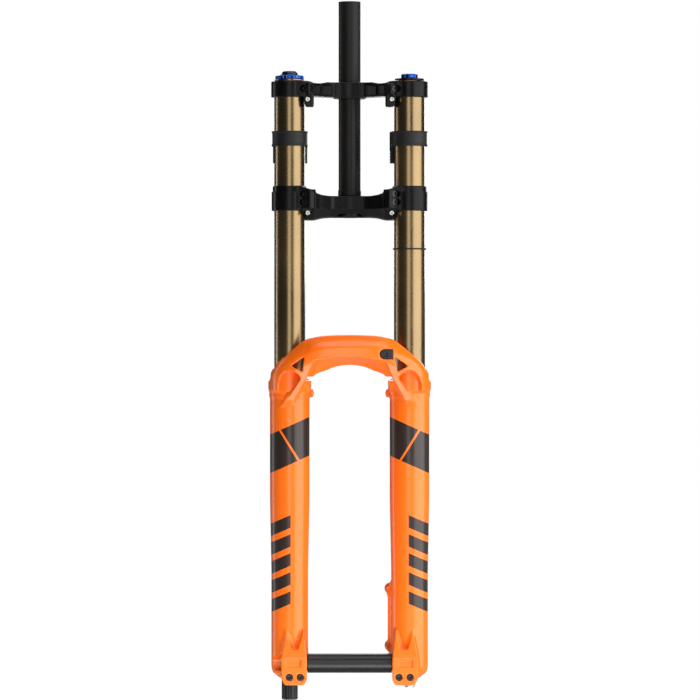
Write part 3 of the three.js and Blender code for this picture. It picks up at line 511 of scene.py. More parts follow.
def arch_opening(x, y, z):
    """The opening over the tyre, which changes from its rear outline to its front one."""
    front_y = np.interp(z, (-238, -210), (-60, -89))
    rear_y = np.interp(z, (-250, -226), (-42, ARCH_REAR))
    share = np.clip((rear_y - y) / (rear_y - front_y), 0, 1.1)
    return curved(REAR_OPENING, x, z) * (1 - share) + curved(FRONT_OPENING, x, z) * share


def arch_field(x, y, z):
    """The arch with its two struts, before its window and pockets."""
    side = np.abs(x)
    crest = curved(CREST, x, z)
    front = arch_front_surface(x, y, -crest)
    band = common(common(crest, front, 1.8), arch_rear_field(side, x, y, z), 2)
    band = cut(band, arch_opening(x, y, z), 1.4)
    edge = side - STRUT_EDGE["side"] + (z - STRUT_EDGE["height"]) * STRUT_EDGE["slope"]
    strut = np.maximum(edge * 0.88, STRUT_FOOT - z)
    band = common(band, np.minimum(ARCH_FOOT - z, strut), 1.5)
    band = common(band, ahead_of_line(y, z, *STRUT_SLOPE), 1.4)
    beside = common(outline(BESIDE_STRUT, side, z), -ahead_of_line(y, z, *BESIDE_SLOPE), 1.5)
    return cut(band, beside, 1.4)


def arch_holes(x, y, z):
    """The arch's windows, its closed pockets in front of the wipers, and the hose clip's seat."""
    side = np.abs(x)
    window = common(outline(rounded(WINDOW, 2.6), side, z), y - WINDOW_REAR)
    back = np.maximum(POCKET_FLOOR - leg_distance(x, y), y - POCKET_REAR)
    pocket = common(outline(rounded(POCKET, 3), side, z), back, 1.2)
    clip_rear = box_mm("hose_guide")[1][1]
    slot = np.maximum(outline(hose_guide_outline(GAP), x, z), y - clip_rear - GAP)
    return np.minimum(np.minimum(window, pocket), slot)


def hose_guide_outline(grow=0.0):
    """A plate with one round end towards the middle of the arch."""
    low, high = box_mm("hose_guide")
    end_radius = (high[2] - low[2]) / 2
    half = end_radius + grow
    middle = (high[2] + low[2]) / 2
    tip = low[0] + end_radius
    turns = np.linspace(math.pi / 2, 3 * math.pi / 2, 13)
    arc = [(tip + half * math.cos(a), middle + half * math.sin(a)) for a in turns]
    return arc + [(high[0] + grow, middle - half), (high[0] + grow, middle + half)]


def dropout_field(x, y, z):
    """Both dropouts, with two fins above each that run out on the leg and a sunk panel."""
    d = DROPOUT
    side = np.abs(x)
    front = rounded([(d["inner"] + 4, d["bottom"]), (d["outer"] - 5, d["bottom"]),
                     (d["outer"], d["bottom"] + 9), (d["outer"], d["top"]), *FINS,
                     (d["inner"], d["top"]), (d["inner"], d["bottom"] + 7)], 2.5)
    profile = rounded([(d["front"], d["bottom"]), (d["rear"], d["bottom"]), (d["rear"], -611),
                       (LEG_Y, -609), (LEG_Y, FIN_TOP), (-56.5, FIN_TOP),
                       (d["front"], d["top"])], 1.5)
    block = common(outline(front, side, z), outline(profile, y, z), 1.3)
    panel = np.maximum(between(side, PANEL["inner"], PANEL["outer"]),
                       between(z, PANEL["bottom"], PANEL["top"]))
    return cut(block, common(panel, y - d["front"] - PANEL["depth"], 0.4), 0.7)


def dropout_cuts(x, y, z):
    """The axle's bore, which is blind on the air side, with the pinch slot and hub seats."""
    side = np.abs(x)
    bore = np.hypot(y - AXLE_Y, z - AXLE_Z) - AXLE_R - GAP
    bore = np.maximum(bore, x - AXLE_HIGH[0] - GAP)
    slot = np.maximum(between(y, AXLE_Y - 0.8, AXLE_Y + 0.8), z - AXLE_Z)
    slot = np.maximum(slot, side - DROPOUT["outer"])
    hub = np.maximum(np.hypot(y - AXLE_Y, z - AXLE_Z) - HUB_SEAT_R, side - DROPOUT["inner"])
    return np.minimum(np.minimum(bore, slot), hub)


def post_field(x, y, z):
    """The brake posts behind the air leg, with the web between them."""
    posts = FAR
    for height in POST["z"]:
        root = (POST["x"] + 5, LEG_Y + 8, height)
        post = rod(x, y, z, root, (POST["x"], POST["y"] + 3, height), POST["root"], POST["face"])
        posts = np.minimum(posts, common(post, y - POST["y"], 0.8))
    lower, upper = POST["z"][1] + 4, POST["z"][0] - 4
    web = common(outline(POST_WEB, x, y), between(z, lower, upper), 1)
    return union(posts, web, 5)


def post_threads(x, y, z):
    """The threaded holes in the brake posts."""
    holes = FAR
    for height in POST["z"]:
        hole = np.hypot(x - POST["x"], z - height) - POST["hole"]
        hole = np.maximum(hole, -y - POST["depth"])
        holes = np.minimum(holes, hole)
    return holes


def bleeder_field(x, y, z, start, end, radius):
    """Rods along the pressure-relief buttons behind the legs, from reach start to reach end."""
    low, high = box_mm("air_bleeder")
    height = (low[2] + high[2]) / 2
    inwards, back = math.cos(BLEEDER_TURN), math.sin(BLEEDER_TURN)
    ends = [(LEG_X - reach * inwards, LEG_Y + reach * back, height) for reach in (start, end)]
    return rod(np.abs(x), y, z, *ends, radius)


def casting_field(x, y, z):
    """The whole casting. Each part is worked out only near its own heights."""
    body = leg_field(x, y, z)
    body = union(body, near(z, -290, -160, lambda: arch_field(x, y, z)), 4)
    body = union(body, near(z, -660, -540, lambda: dropout_field(x, y, z)), 4)
    body = union(body, near(z, -620, -470, lambda: post_field(x, y, z)), 6)
    body = union(body, near(z, -275, -235, lambda: bleeder_field(x, y, z, 20, 31, 5.4)), 2.5)
    body = cut(body, near(z, -275, -235, lambda: bleeder_field(x, y, z, 15, 40, 3.3)), 0.5)
    above_wiper = np.maximum(leg_distance(x, y) - 26, COLLAR_TOP + 0.1 - z)
    body = cut(body, above_wiper, 1.5)
    body = cut(body, near(z, -275, -190, lambda: arch_holes(x, y, z)), 1.2)
    body = cut(body, bore_field(x, y, z), 0.6)
    body = cut(body, near(z, -660, -560, lambda: dropout_cuts(x, y, z)), 0.5)
    body = cut(body, near(z, -660, -560, lambda: screw_holes(PINCH_BOLTS, x, y, z)), 0.5)
    return cut(body, near(z, -620, -470, lambda: post_threads(x, y, z)), 0.4)


def lower_casting():
    """Its grid is fine at the arch and the dropouts, and coarse along the plain legs."""
    fine = 1.46
    xs = steps((-107, 107.2, fine))
    ys = steps((-93, -53.6, fine), (-53.6, -50.4, 0.7), (-50.4, 5, fine))
    zs = steps((-633, -556, fine), (-556, -515, 2.4), (-515, -500, 1.8), (-500, -276, 6),
               (-276, -178, fine))
    return grown("lower_casting_paint", casting_field, xs, ys, zs)


# ---- screws ----
CAP_SCREW = {"head": 4.3, "height": 5, "shank": 2.5, "socket": 2.08, "depth": 3}
GUIDE_SCREW = {"head": 3, "height": 2.4, "shank": 1.5, "socket": 1.13, "depth": 1.5}
UPPER_BOLTS = ["upper_bolt_damper", "upper_bolt_air", "steerer_bolt"]
UPPER_BOLTS += ["guide_screw_upper_damper", "guide_screw_upper_air"]
LOWER_BOLTS = [f"lower_bolt_{who}_{i}" for who in SIDES for i in (1, 2)]
LOWER_BOLTS += ["guide_screw_lower_damper", "guide_screw_lower_air"]
PINCH_BOLTS = [f"axle_pinch_bolt_{who}_{i}" for who in SIDES for i in (1, 2)]


def screw_line(node):
    """Middle of the head's top and middle of the tip of a screw, read from its CAD vertices."""
    points = np.unique(corners_mm(node).round(3), axis=0)
    axis = np.linalg.svd(points - points.mean(0), full_matrices=False)[2][0]
    height = points @ axis
    ends = [points[height > height.max() - 0.4], points[height < height.min() + 0.4]]
    wide = [np.linalg.norm(end - end.mean(0), axis=1).max() for end in ends]
    top, tip = ends if wide[0] > wide[1] else ends[::-1]
    return top.mean(0), tip.mean(0)


SCREW_LINES = {node: screw_line(node) for node in UPPER_BOLTS + LOWER_BOLTS + PINCH_BOLTS}


def screw_size(node):
    return GUIDE_SCREW if "guide" in node else CAP_SCREW


def screw_holes(names, x, y, z):
    """Clearance holes with counterbores for these screws."""
    holes = FAR
    for name in names:
        size = screw_size(name)
        top, tip = SCREW_LINES[name]
        d = (top - tip) / np.linalg.norm(top - tip)
        seat = top - d * size["height"]
        shank = rod(x, y, z, tip - d * 0.4, seat, size["shank"] + GAP)
        head = rod(x, y, z, seat - d * GAP, seat + d * 14, size["head"] + 0.4)
        holes = np.minimum(holes, np.minimum(shank, head))
    return holes


def screw(node):
    """A socket-head screw with a hexagon socket."""
    size = screw_size(node)
    top, tip = SCREW_LINES[node]
    head, height, shank = size["head"], size["height"], size["shank"]
    length = np.linalg.norm(top - tip) - height
    hexagon = polygon_radii(size["socket"], 6, 48)
    floor = height - size["depth"]
    rings = [(0, -length), (shank - 0.4, -length), (shank, 0.4 - length), (shank, -0.05),
             (shank + 0.1, 0), (head - 0.2, 0), (head, 0.2), (head, height - 0.6),
             (head - 0.15, height - 0.2), (head - 0.6, height), (hexagon * 1.15, height),
             (hexagon, height - 0.25), (hexagon, floor), (0, floor - 0.7)]
    made = crisp(loft(node + "_turned", rings, segments=48))
    direction = (top - tip) / np.linalg.norm(top - tip)
    return along(made, top - direction * height, direction)


# ---- the crowns ----
SLOT_DIRECTION = (-0.811, -0.585)
UPPER_PLAN = [(0, 21), (18, 16), (40, -8), (70, -14), (70, -54), (60, -56), (44, -46),
              (22, -19), (0, -20)]
SCOOP = [(27, 152.5), (30, 147.3), (37, 145.2), (46, 145.2), (51, 147.3), (54, 152.5)]
UPPER_POCKETS = [(22, 35, -20), (37.5, 46, -34)]  # inner and outer side, rear face
UPPER_HUB_R = 20.5
UPPER_CLAMP_R = 24
UPPER_TAB_DEPTH = 12.8  # the guide screws' tabs hang this far below the upper crown
TAB = [(46, 132.8), (46, 114), (57, 114), (61, 132.8)]
LOWER_PLAN = [(0, 27), (16, 22), (34, 4), (60, -8), (78, -10), (78, -52), (55, -57), (47, -57),
              (40, -48), (22, -31), (0, -28)]
KEEL = -27.3
LOWER_TOP = [(78, 11.5), (60, 11.5), (52, 8.2), (44, 3.9), (36, 1.2), (27, 0.1), (0, 0)]
LOWER_KEEL = [(0, KEEL), (24, KEEL), (36, -28.4), (47, -31.3), (58, -31.3), (62, -19.6),
              (78, -19.6)]
BAND = -17  # below this height the lower crown's keel leans back
LEAN = 14
LOWER_CLAMP_R = 23.4
LOWER_RIM_R = 22
LOWER_TAB_DEPTH = 11.7


def clamp_axes(x, y):
    """Reach along a clamp's slot from the stanchion, and height towards its bolt heads."""
    dx, dy = np.abs(x) - LEG_X, y - LEG_Y
    along_slot = dx * SLOT_DIRECTION[0] + dy * SLOT_DIRECTION[1]
    return along_slot, dy * SLOT_DIRECTION[0] - dx * SLOT_DIRECTION[1]


def clamp_ear(x, y, z, far, height, bottom, top):
    """The ear beside a stanchion clamp that takes its bolts."""
    reach, rise = clamp_axes(x, y)
    plan = common(between(reach, 19, far), between(rise, -8, height), 2.4)
    return common(plan, between(z, bottom, top), 1.6)


def clamp_slot(x, y):
    """The saw cut that lets a stanchion clamp close."""
    reach, rise = clamp_axes(x, y)
    return np.maximum(between(rise, -4.2, -2.6), between(reach, 17, 45))


def crown_bores(x, y):
    steerer = np.hypot(x, y) - STEERER_R - GAP
    return np.minimum(steerer, leg_distance(x, y) - STANCHION_R - GAP)


def upper_crown_field(x, y, z):
    side = np.abs(x)
    bottom, top = UPPER_LOW[2] + UPPER_TAB_DEPTH, UPPER_HIGH[2]
    height = between(z, bottom, top)
    plan = outline(rounded(both_sides(UPPER_PLAN), 6, 6), x, y)
    body = common(plan, between(z, bottom + 1.5, top), 1.8)
    body = cut(body, outline(rounded(SCOOP, 3), side, z), 1.5)
    for inner, outer, back in UPPER_POCKETS:
        face = common(between(side, inner, outer), between(z, bottom + 3.2, top - 4), 2)
        body = cut(body, common(face, y - back, 0.8), 0.9)
    body = union(body, common(np.hypot(x, y) - UPPER_HUB_R, height, 1.4), 2.5)
    body = union(body, common(leg_distance(x, y) - UPPER_CLAMP_R, height, 1.4), 3)
    block = common(side - 12, between(y, 10, UPPER_HIGH[1]), 2.5)
    body = union(body, common(block, between(z, bottom + 2, top - 1.5), 1.6), 2)
    body = union(body, clamp_ear(x, y, z, 34, 4.6, bottom + 2.8, top - 2.5), 1.5)
    tab = common(outline(rounded(TAB, 2.5), side, z), between(y, -53, -40), 1.2)
    body = union(body, tab, 1.5)
    body = cut(body, crown_bores(x, y), 0.6)
    body = cut(body, clamp_slot(x, y), 0.4)
    body = cut(body, np.maximum(side - 0.8, 12 - y), 0.4)
    return cut(body, screw_holes(UPPER_BOLTS, x, y, z), 0.4)


def lower_crown_field(x, y, z):
    side = np.abs(x)
    bottom, top = LOWER_LOW[2] + LOWER_TAB_DEPTH, LOWER_HIGH[2]
    front = outline(rounded(both_sides(LOWER_TOP)[::-1] + both_sides(LOWER_KEEL[::-1]), 2), x, z)
    lean = np.clip((BAND - z) / (BAND - KEEL), 0, 1.5) * LEAN
    plan = rounded(both_sides(LOWER_PLAN), 4, 6)
    level = outline(plan, x, y)
    leaning = np.where(z > BAND, level, np.maximum(level, outline(plan, x, y - lean) * 0.8))
    body = common(leaning, front, 1.8)
    radius = np.where(z > top - 7.5, LOWER_RIM_R, LOWER_CLAMP_R)
    clamp = common(leg_distance(x, y) - radius, between(z, bottom, top), 1.2)
    body = union(body, clamp, 2.5)
    body = union(body, clamp_ear(x, y, z, 37, 5.5, -16.5, 8), 2)
    groove = np.maximum(between(np.hypot(x, y), 18.5, 25), z + 22.3)
    body = cut(body, groove, 0.8)
    body = cut(body, crown_bores(x, y), 0.6)
    relief = np.maximum(leg_distance(x, y) - 22.4, z + 28.5)
    recess = np.maximum(between(side, 48, 60), np.maximum(y + 53, z - BAND - 0.2))
    body = cut(body, np.minimum(relief, recess), 0.6)
    body = cut(body, clamp_slot(x, y), 0.4)
    return cut(body, screw_holes(LOWER_BOLTS, x, y, z), 0.4)


def grid_of(low, high, spacing):
    return [steps((a - 1.7 * spacing, b + 1.7 * spacing, spacing)) for a, b in zip(low, high)]


def crown(name, field, spacing=1.0):
    return grown(name + "_forged", field, *grid_of(*box_mm(name), spacing))


# ---- rubber and plastic ----
STRAP = [(20.3, 64), (23.8, 64), (22.6, 67.5), (22.6, 80), (23.8, 83.2), (20.3, 83.2)]
PAD = {"inner": 20.3, "outer": 29, "bottom": 42.4, "top": 83.2, "half_width": 22}
RIBS = {"count": 4, "spacing": 4, "bottom": 44, "gap": 2, "root": 27.6}


def bumper(who):
    """A strap round the stanchion with a ribbed pad that hangs behind it."""
    node = f"{who}_bumper"
    centre = LEG[who]
    points = corners_mm(node)
    pad = points[points[:, 2] < STRAP[0][1] - 4] - [*centre, 0]
    middle = (pad[:, :2] / np.linalg.norm(pad[:, :2], axis=1)[:, None]).mean(0)
    turn = math.atan2(-middle[0], middle[1])

    def field(x, y, z):
        dx, dy = x - centre[0], y - centre[1]
        u = dx * math.cos(turn) + dy * math.sin(turn)
        v = dy * math.cos(turn) - dx * math.sin(turn)
        away = np.hypot(u, v)
        strap = outline(rounded(STRAP, 0.8), away, z)
        height = between(z, PAD["bottom"], PAD["top"])
        wrap = common(between(away, PAD["inner"], PAD["outer"]), height, 1.2)
        for i in range(RIBS["count"]):
            low = RIBS["bottom"] + RIBS["spacing"] * i
            groove = np.maximum(RIBS["root"] - away, between(z, low, low + RIBS["gap"]))
            wrap = cut(wrap, groove, 0.5)
        wrap = common(wrap, np.maximum(np.abs(u) - PAD["half_width"], 4 - v), 1)
        return union(strap, wrap, 1.5)

    return grown(node + "_moulded", field, *grid_of(*box_mm(node), 0.9))


def hose_clip():
    """The clip in the arch that holds the brake hose, with a shallow dish in its face."""
    low, high = box_mm("hose_guide")

    def field(x, y, z):
        plate = common(outline(hose_guide_outline(), x, z), between(y, low[1], high[1]), 1.3)
        middle = (low[2] + high[2]) / 2
        dish = np.maximum(np.hypot(x - low[0] - 6, z - middle) - 3.4, y - low[1] - 1.2)
        return cut(plate, dish, 0.8)

    return grown("hose_guide_moulded", field, *grid_of(low, high, 0.55))


def high_speed_dial():
    """A blue ring with teeth round its rim and a hub in the middle."""
    axis, _, bottom, top = upright("high_speed_dial")
    teeth = toothed_radii(18.6, 17.7, 24, 288)
    rings = [(4.3, bottom), (teeth - 0.8, bottom), (teeth, bottom + 0.7), (teeth, 153.9),
             (teeth - 0.4, 154.7), (teeth - 1.3, 155), (13.2, 155), (12.8, 155.3),
             (12.4, top), (9.4, top), (9.1, 155.8), (9, 155), (4.6, 155), (4.3, 154.6)]
    return crisp(loft("high_speed_dial_turned", rings, axis, 288, True), 40)


def rebound_dial():
    """A ribbed knob that hangs under the damper leg and is open at the top."""
    axis, _, bottom, top = upright("rebound_dial")
    teeth = toothed_radii(10.4, 9.6, 16, 192)
    rings = [(0, bottom), (teeth - 2.4, bottom), (teeth - 0.7, bottom + 0.5),
             (teeth, bottom + 2), (teeth, top - 1), (teeth - 0.5, top), (8.6, top),
             (8.4, top - 0.3), (8.4, -640), (0, -640)]
    return crisp(loft("rebound_dial_moulded", rings, axis, 192), 40)


def valve_cap():
    """A cap with eight lobes that is hollow underneath."""
    axis, _, bottom, top = upright("air_valve_cap")
    teeth = toothed_radii(10.85, 10.0, 8, 192)
    rings = [(6.3, bottom), (teeth - 0.5, bottom), (teeth, bottom + 0.6), (teeth, top - 1.6),
             (teeth - 0.5, top - 0.6), (teeth - 1.7, top), (0, top)]
    inside = [(0, 155.5), (6.3, 155.5)]
    return crisp(loft("air_valve_cap_turned", inside + rings, axis, 192), 40)


# ---- turned pieces ----
def profiles():
    """Outlines of the turned pieces that stand upright, as (r, z) corners."""
    floor, top = upright("steerer_tube")[2:]
    foot, head = upright("air_stanchion")[2:]
    return {
        "steerer_tube": [(9.4, floor), (14.3, floor), (14.3, 0.6), (15, 1), (15, 7), (14.3, 9),
                         (14.3, top), (11.7, top), (11.7, 60), (10.2, 40)],
        "stanchion": [(17.6, foot), (20, foot), (20, head), (17.6, head)],
        "wiper": [(20.3, -250.3), (24, -250.3), (24, -238), (25.2, -238), (24.8, -236.6),
                  (22.6, -236), (21.4, -235.8), (20.3, -236.4)],
        "foam_ring": [(20.3, -258.3), (24, -258.3), (24, -250.6), (20.3, -250.6)],
        "damper_top_cap": [(0.01, 128), (17.3, 128), (17.3, 148), (19.7, 148.3), (19.7, 150),
                           (4, 150), (4, 159), (0.01, 159)],
        "low_speed_dial": [(4.3, 156.5), (10.6, 156.5), (10.6, 158.3), (8.6, 160.6),
                           (6.4, 161.2), (4.3, 161.2)],
        "air_top_cap": [(0.01, 132), (17.3, 132), (17.3, 148), (19, 148.3), (19, 151.2),
                        (6, 151.2), (6, 155), (4.2, 155), (4.2, 140), (0.01, 140)],
        "sag_ring": [(20.2, -69.6), (21.6, -69.6), (21.6, -67.6), (20.2, -67.6)],
    }


TURNED = {
    "steerer_tube": ("steerer_tube", 0.6),
    "damper_stanchion": ("stanchion", 0.9), "air_stanchion": ("stanchion", 0.9),
    "damper_wiper": ("wiper", 0.4), "air_wiper": ("wiper", 0.4),
    "damper_foam_ring": ("foam_ring", 0.8), "air_foam_ring": ("foam_ring", 0.8),
    "damper_top_cap": ("damper_top_cap", 0.4), "air_top_cap": ("air_top_cap", 0.5),
    "low_speed_dial": ("low_speed_dial", 0.6), "sag_ring": ("sag_ring", 0.75),
}


def turned_pieces():
    """Each turned piece with the node it stands for."""
    outlines = profiles()
    made = []
    for node, (shape, radius) in TURNED.items():
        axis = upright(node)[0]
        made.append((turned(node + "_turned", outlines[shape], axis, radius, 128), node))
    return made


def axle():
    """A hollow axle with a hexagon socket at its damper end."""
    half = AXLE_HIGH[0]
    hexagon = polygon_radii(3.03, 6, 96)
    rings = [(0, 10 - half), (hexagon, 10 - half), (hexagon, 0.4 - half), (hexagon * 1.1, -half),
             (AXLE_R - 0.8, -half), (AXLE_R - 0.2, 0.2 - half), (AXLE_R, 0.9 - half),
             (AXLE_R, half - 0.9), (AXLE_R - 0.2, half - 0.2), (AXLE_R - 0.8, half),
             (6.8, half), (6.5, half - 0.4), (6.5, 16 - half), (0, 15 - half)]
    made = crisp(loft("axle_turned", rings, segments=96))
    return along(made, (0, AXLE_Y, AXLE_Z), (1, 0, 0))


def axle_sleeve():
    low, high = box_mm("axle_sleeve")
    half, outer, inner = high[0], (high[1] - low[1]) / 2, AXLE_R + GAP
    shape = [(inner, -half), (outer, -half), (outer, half), (inner, half)]
    return along(turned("axle_sleeve_moulded", shape, radius=1.0), (0, AXLE_Y, AXLE_Z), (1, 0, 0))


def air_foot_bolt():
    """A flanged bolt under the air leg with a hexagon socket."""
    axis, head, bottom, top = upright("air_foot_bolt")
    hexagon = polygon_radii(2.5, 6, 96)
    rings = [(0, bottom + 4.3), (hexagon, bottom + 4.3), (hexagon, bottom + 0.4),
             (hexagon * 1.12, bottom), (head - 0.9, bottom), (head - 0.2, bottom + 0.3),
             (head, bottom + 1), (head, -617.8), (head - 0.4, -617.3), (3.6, -617.3),
             (3.6, top), (0, top)]
    return crisp(loft("air_foot_bolt_turned", rings, axis, 96))


def bleeder(who):
    """A pressure-relief button that points back and inwards."""
    low, high = box_mm(f"{who}_bleeder")
    turn = (-SIDES[who] * math.cos(BLEEDER_TURN), math.sin(BLEEDER_TURN), 0)
    middle = (low[2] + high[2]) / 2
    start = (LEG[who][0] + 26 * turn[0], LEG_Y + 26 * turn[1], middle)
    rings = [(0, 0), (3, 0), (3, 5.4), (2.8, 6), (2.2, 6.4), (1.6, 6.4), (1.4, 6.1), (0, 6.1)]
    made = crisp(loft(f"{who}_bleeder_moulded", rings, segments=48))
    return along(made, start, turn)


# ---- materials ----
ORANGE = (1.0, 0.16, 0.004)
# Painted highlight colour for the casting's convex edges.
EDGE_HIGHLIGHT_ORANGE = (1.0, 0.26, 0.05)
DECAL = (0.022, 0.013, 0.010)
# The lighter edge colour given in each finish is a painted highlight on its convex edges, in
# patches.
FINISHES = {
    "steerer_black": dict(colour=(0.0075, 0.0068, 0.0062), roughness=0.40, shine=0.16,
                          edge_highlight=(0.06, 0.055, 0.05), stretch=(2, 2, 900), bump=0.01),
    "crown_black": dict(colour=(0.0032, 0.003, 0.003), roughness=0.28, shine=0.14,
                        edge_highlight=(0.04, 0.04, 0.04), stretch=(260, 260, 260), bump=0.10),
    "stanchion_gold": dict(colour=(0.20, 0.125, 0.04), roughness=0.27, metallic=1.0,
                           coat=1.0, edge_highlight=(0.30, 0.21, 0.10), stretch=(1, 1, 4000),
                           bump=0.002),
    "blue_anodised": dict(colour=(0.014, 0.07, 0.33), roughness=0.28, metallic=1.0,
                          edge_highlight=(0.20, 0.35, 0.70), stretch=(300, 300, 300), bump=0.04),
    "bare_steel": dict(colour=(0.56, 0.55, 0.53), roughness=0.30, metallic=1.0,
                       edge_highlight=(0.75, 0.74, 0.72), stretch=(5, 5, 700), bump=0.04),
    "black_steel": dict(colour=(0.008, 0.0075, 0.008), roughness=0.32, shine=0.4,
                        edge_highlight=(0.08, 0.075, 0.07), stretch=(500, 500, 500), bump=0.08),
    "rubber": dict(colour=(0.006, 0.0055, 0.0055), roughness=0.55, shine=0.3,
                   edge_highlight=(0.02, 0.02, 0.02), stretch=(420, 420, 420), bump=0.25),
    "plastic": dict(colour=(0.005, 0.005, 0.005), roughness=0.32, shine=0.4,
                    edge_highlight=(0.03, 0.03, 0.03), stretch=(350, 350, 350), bump=0.08),
    "bushing_grey": dict(colour=(0.22, 0.22, 0.21), roughness=0.5, edge_highlight=(0.4, 0.36, 0.28),
                         stretch=(200, 200, 200), bump=0.1),
    "oil_foam": dict(colour=(0.40, 0.33, 0.22), roughness=0.9, edge_highlight=(0.5, 0.45, 0.35),
                     stretch=(600, 600, 600), bump=0.6),
}


def put(tree, kind, inputs=None, **settings):
    """A shader node with its settings. Each input is a constant, or an output to link."""
    made = tree.nodes.new(kind)
    for key, value in settings.items():
        setattr(made, key, value)
    for socket, value in (inputs or {}).items():
        if isinstance(value, bpy.types.NodeSocket):
            tree.links.new(value, made.inputs[socket])
        else:
            made.inputs[socket].default_value = value
    return made


def maths(tree, operation, a, b=0.0):
    return put(tree, "ShaderNodeMath", {0: a, 1: b}, operation=operation).outputs[0]


def mixed(tree, factor, a, b):
    """Colour a where the factor is 0, and b where it is 1."""
    a, b = (c if isinstance(c, bpy.types.NodeSocket) else (*c, 1) for c in (a, b))
    return put(tree, "ShaderNodeMix", {0: factor, 6: a, 7: b}, data_type="RGBA").outputs[2]


def ranged(tree, value, low, high, to_low=0.0, to_high=1.0):
    """The value carried from one range to another and held at its ends."""
    sockets = {0: value, 1: low, 2: high, 3: to_low, 4: to_high}
    return put(tree, "ShaderNodeMapRange", sockets).outputs[0]


def noise(tree, place, scale, detail=4.0):
    sockets = {"Vector": place, "Scale": scale, "Detail": detail}
    return put(tree, "ShaderNodeTexNoise", sockets).outputs[0]


def new_material(name):
    """A node material with its tree, its shader and the object's own coordinates."""
    made = bpy.data.materials.new(name)
    made.use_nodes = True
    tree = made.node_tree
    place = put(tree, "ShaderNodeTexCoord").outputs["Object"]
    return made, tree, tree.nodes["Principled BSDF"], place


def painted_edge_highlights(tree, place):
    """Painted highlight: convex edges made lighter, in patches."""
    edge = put(tree, "ShaderNodeNewGeometry").outputs["Pointiness"]
    return maths(tree, "MULTIPLY", ranged(tree, edge, 0.53, 0.62),
                 ranged(tree, noise(tree, place, 60), 0.45, 0.7, 0.0, 0.7))


def finish_of(slot, colour, roughness, edge_highlight, stretch, bump, metallic=0.0, shine=0.5, coat=0.0):
    """A material with grain along `stretch`, patchy tone and roughness, and a painted highlight
    on its convex edges.
    """
    made, tree, shader, place = new_material(slot)
    grain = noise(tree, put(tree, "ShaderNodeMapping", {0: place, 3: stretch}).outputs[0], 1.0, 6)
    patches = noise(tree, place, 14, 3)
    darker = tuple(0.8 * c for c in colour)
    tone = mixed(tree, ranged(tree, patches, 0.35, 0.65), darker, colour)
    # Base colour: patchy tone, lifted to the lighter edge colour on convex edges as a painted
    # highlight.
    tree.links.new(mixed(tree, painted_edge_highlights(tree, place), tone, edge_highlight), shader.inputs["Base Color"])
    smudge = maths(tree, "ADD", ranged(tree, patches, 0.3, 0.7, -0.04, 0.05),
                   ranged(tree, grain, 0.3, 0.7, roughness - 0.04, roughness + 0.05))
    tree.links.new(smudge, shader.inputs["Roughness"])
    relief = put(tree, "ShaderNodeBump", {"Strength": bump, "Distance": 0.0004, "Height": grain})
    tree.links.new(relief.outputs[0], shader.inputs["Normal"])
    shader.inputs["Metallic"].default_value = metallic
    shader.inputs["Specular IOR Level"].default_value = shine
    shader.inputs["Coat Weight"].default_value = coat
    shader.inputs["Coat Roughness"].default_value = 0.25
    return made


def inside_band(tree, value, low, high):
    """1 between low and high, with edges a third of a millimetre wide."""
    soft = 0.00015
    return maths(tree, "MULTIPLY", ranged(tree, value, low - soft, low + soft),
                 ranged(tree, value, high - soft, high + soft, 1.0, 0.0))


DECAL_SLANT = 0.45
BLOCK = (-0.3465, -0.2965)
SLIT_SLANT = 1.6
SLIT = (-0.3245, -0.3195)
BARS = (-0.526, -0.4035)
BAR_PERIOD = 0.0245
BAR_SHARE = 0.66


def decal_mask(tree, place):
    """Generic graphics, in metres: a slanted block across the front of each leg with a slit
    through it, and a stack of slanted bars below on the outer half."""
    xyz = put(tree, "ShaderNodeSeparateXYZ", {0: place}).outputs
    across = maths(tree, "SUBTRACT", maths(tree, "ABSOLUTE", xyz[0]), LEG_X * MM)
    ahead = ranged(tree, xyz[1], LEG_Y * MM - 0.002, LEG_Y * MM, 1.0, 0.0)
    slanted = maths(tree, "ADD", xyz[2], maths(tree, "MULTIPLY", across, DECAL_SLANT))
    block = inside_band(tree, slanted, *BLOCK)
    steep = maths(tree, "SUBTRACT", xyz[2], maths(tree, "MULTIPLY", across, SLIT_SLANT))
    slit = inside_band(tree, steep, *SLIT)
    block = maths(tree, "MULTIPLY", block, maths(tree, "SUBTRACT", 1.0, slit))
    turns = maths(tree, "DIVIDE", maths(tree, "ADD", slanted, -BARS[0]), BAR_PERIOD)
    phase = maths(tree, "FRACT", turns)
    bars = maths(tree, "MULTIPLY", inside_band(tree, slanted, *BARS),
                 ranged(tree, phase, BAR_SHARE, BAR_SHARE + 0.01, 1.0, 0.0))
    bars = maths(tree, "MULTIPLY", bars, inside_band(tree, across, -0.0015, 0.05))
    return maths(tree, "MULTIPLY", ahead, maths(tree, "MAXIMUM", block, bars))


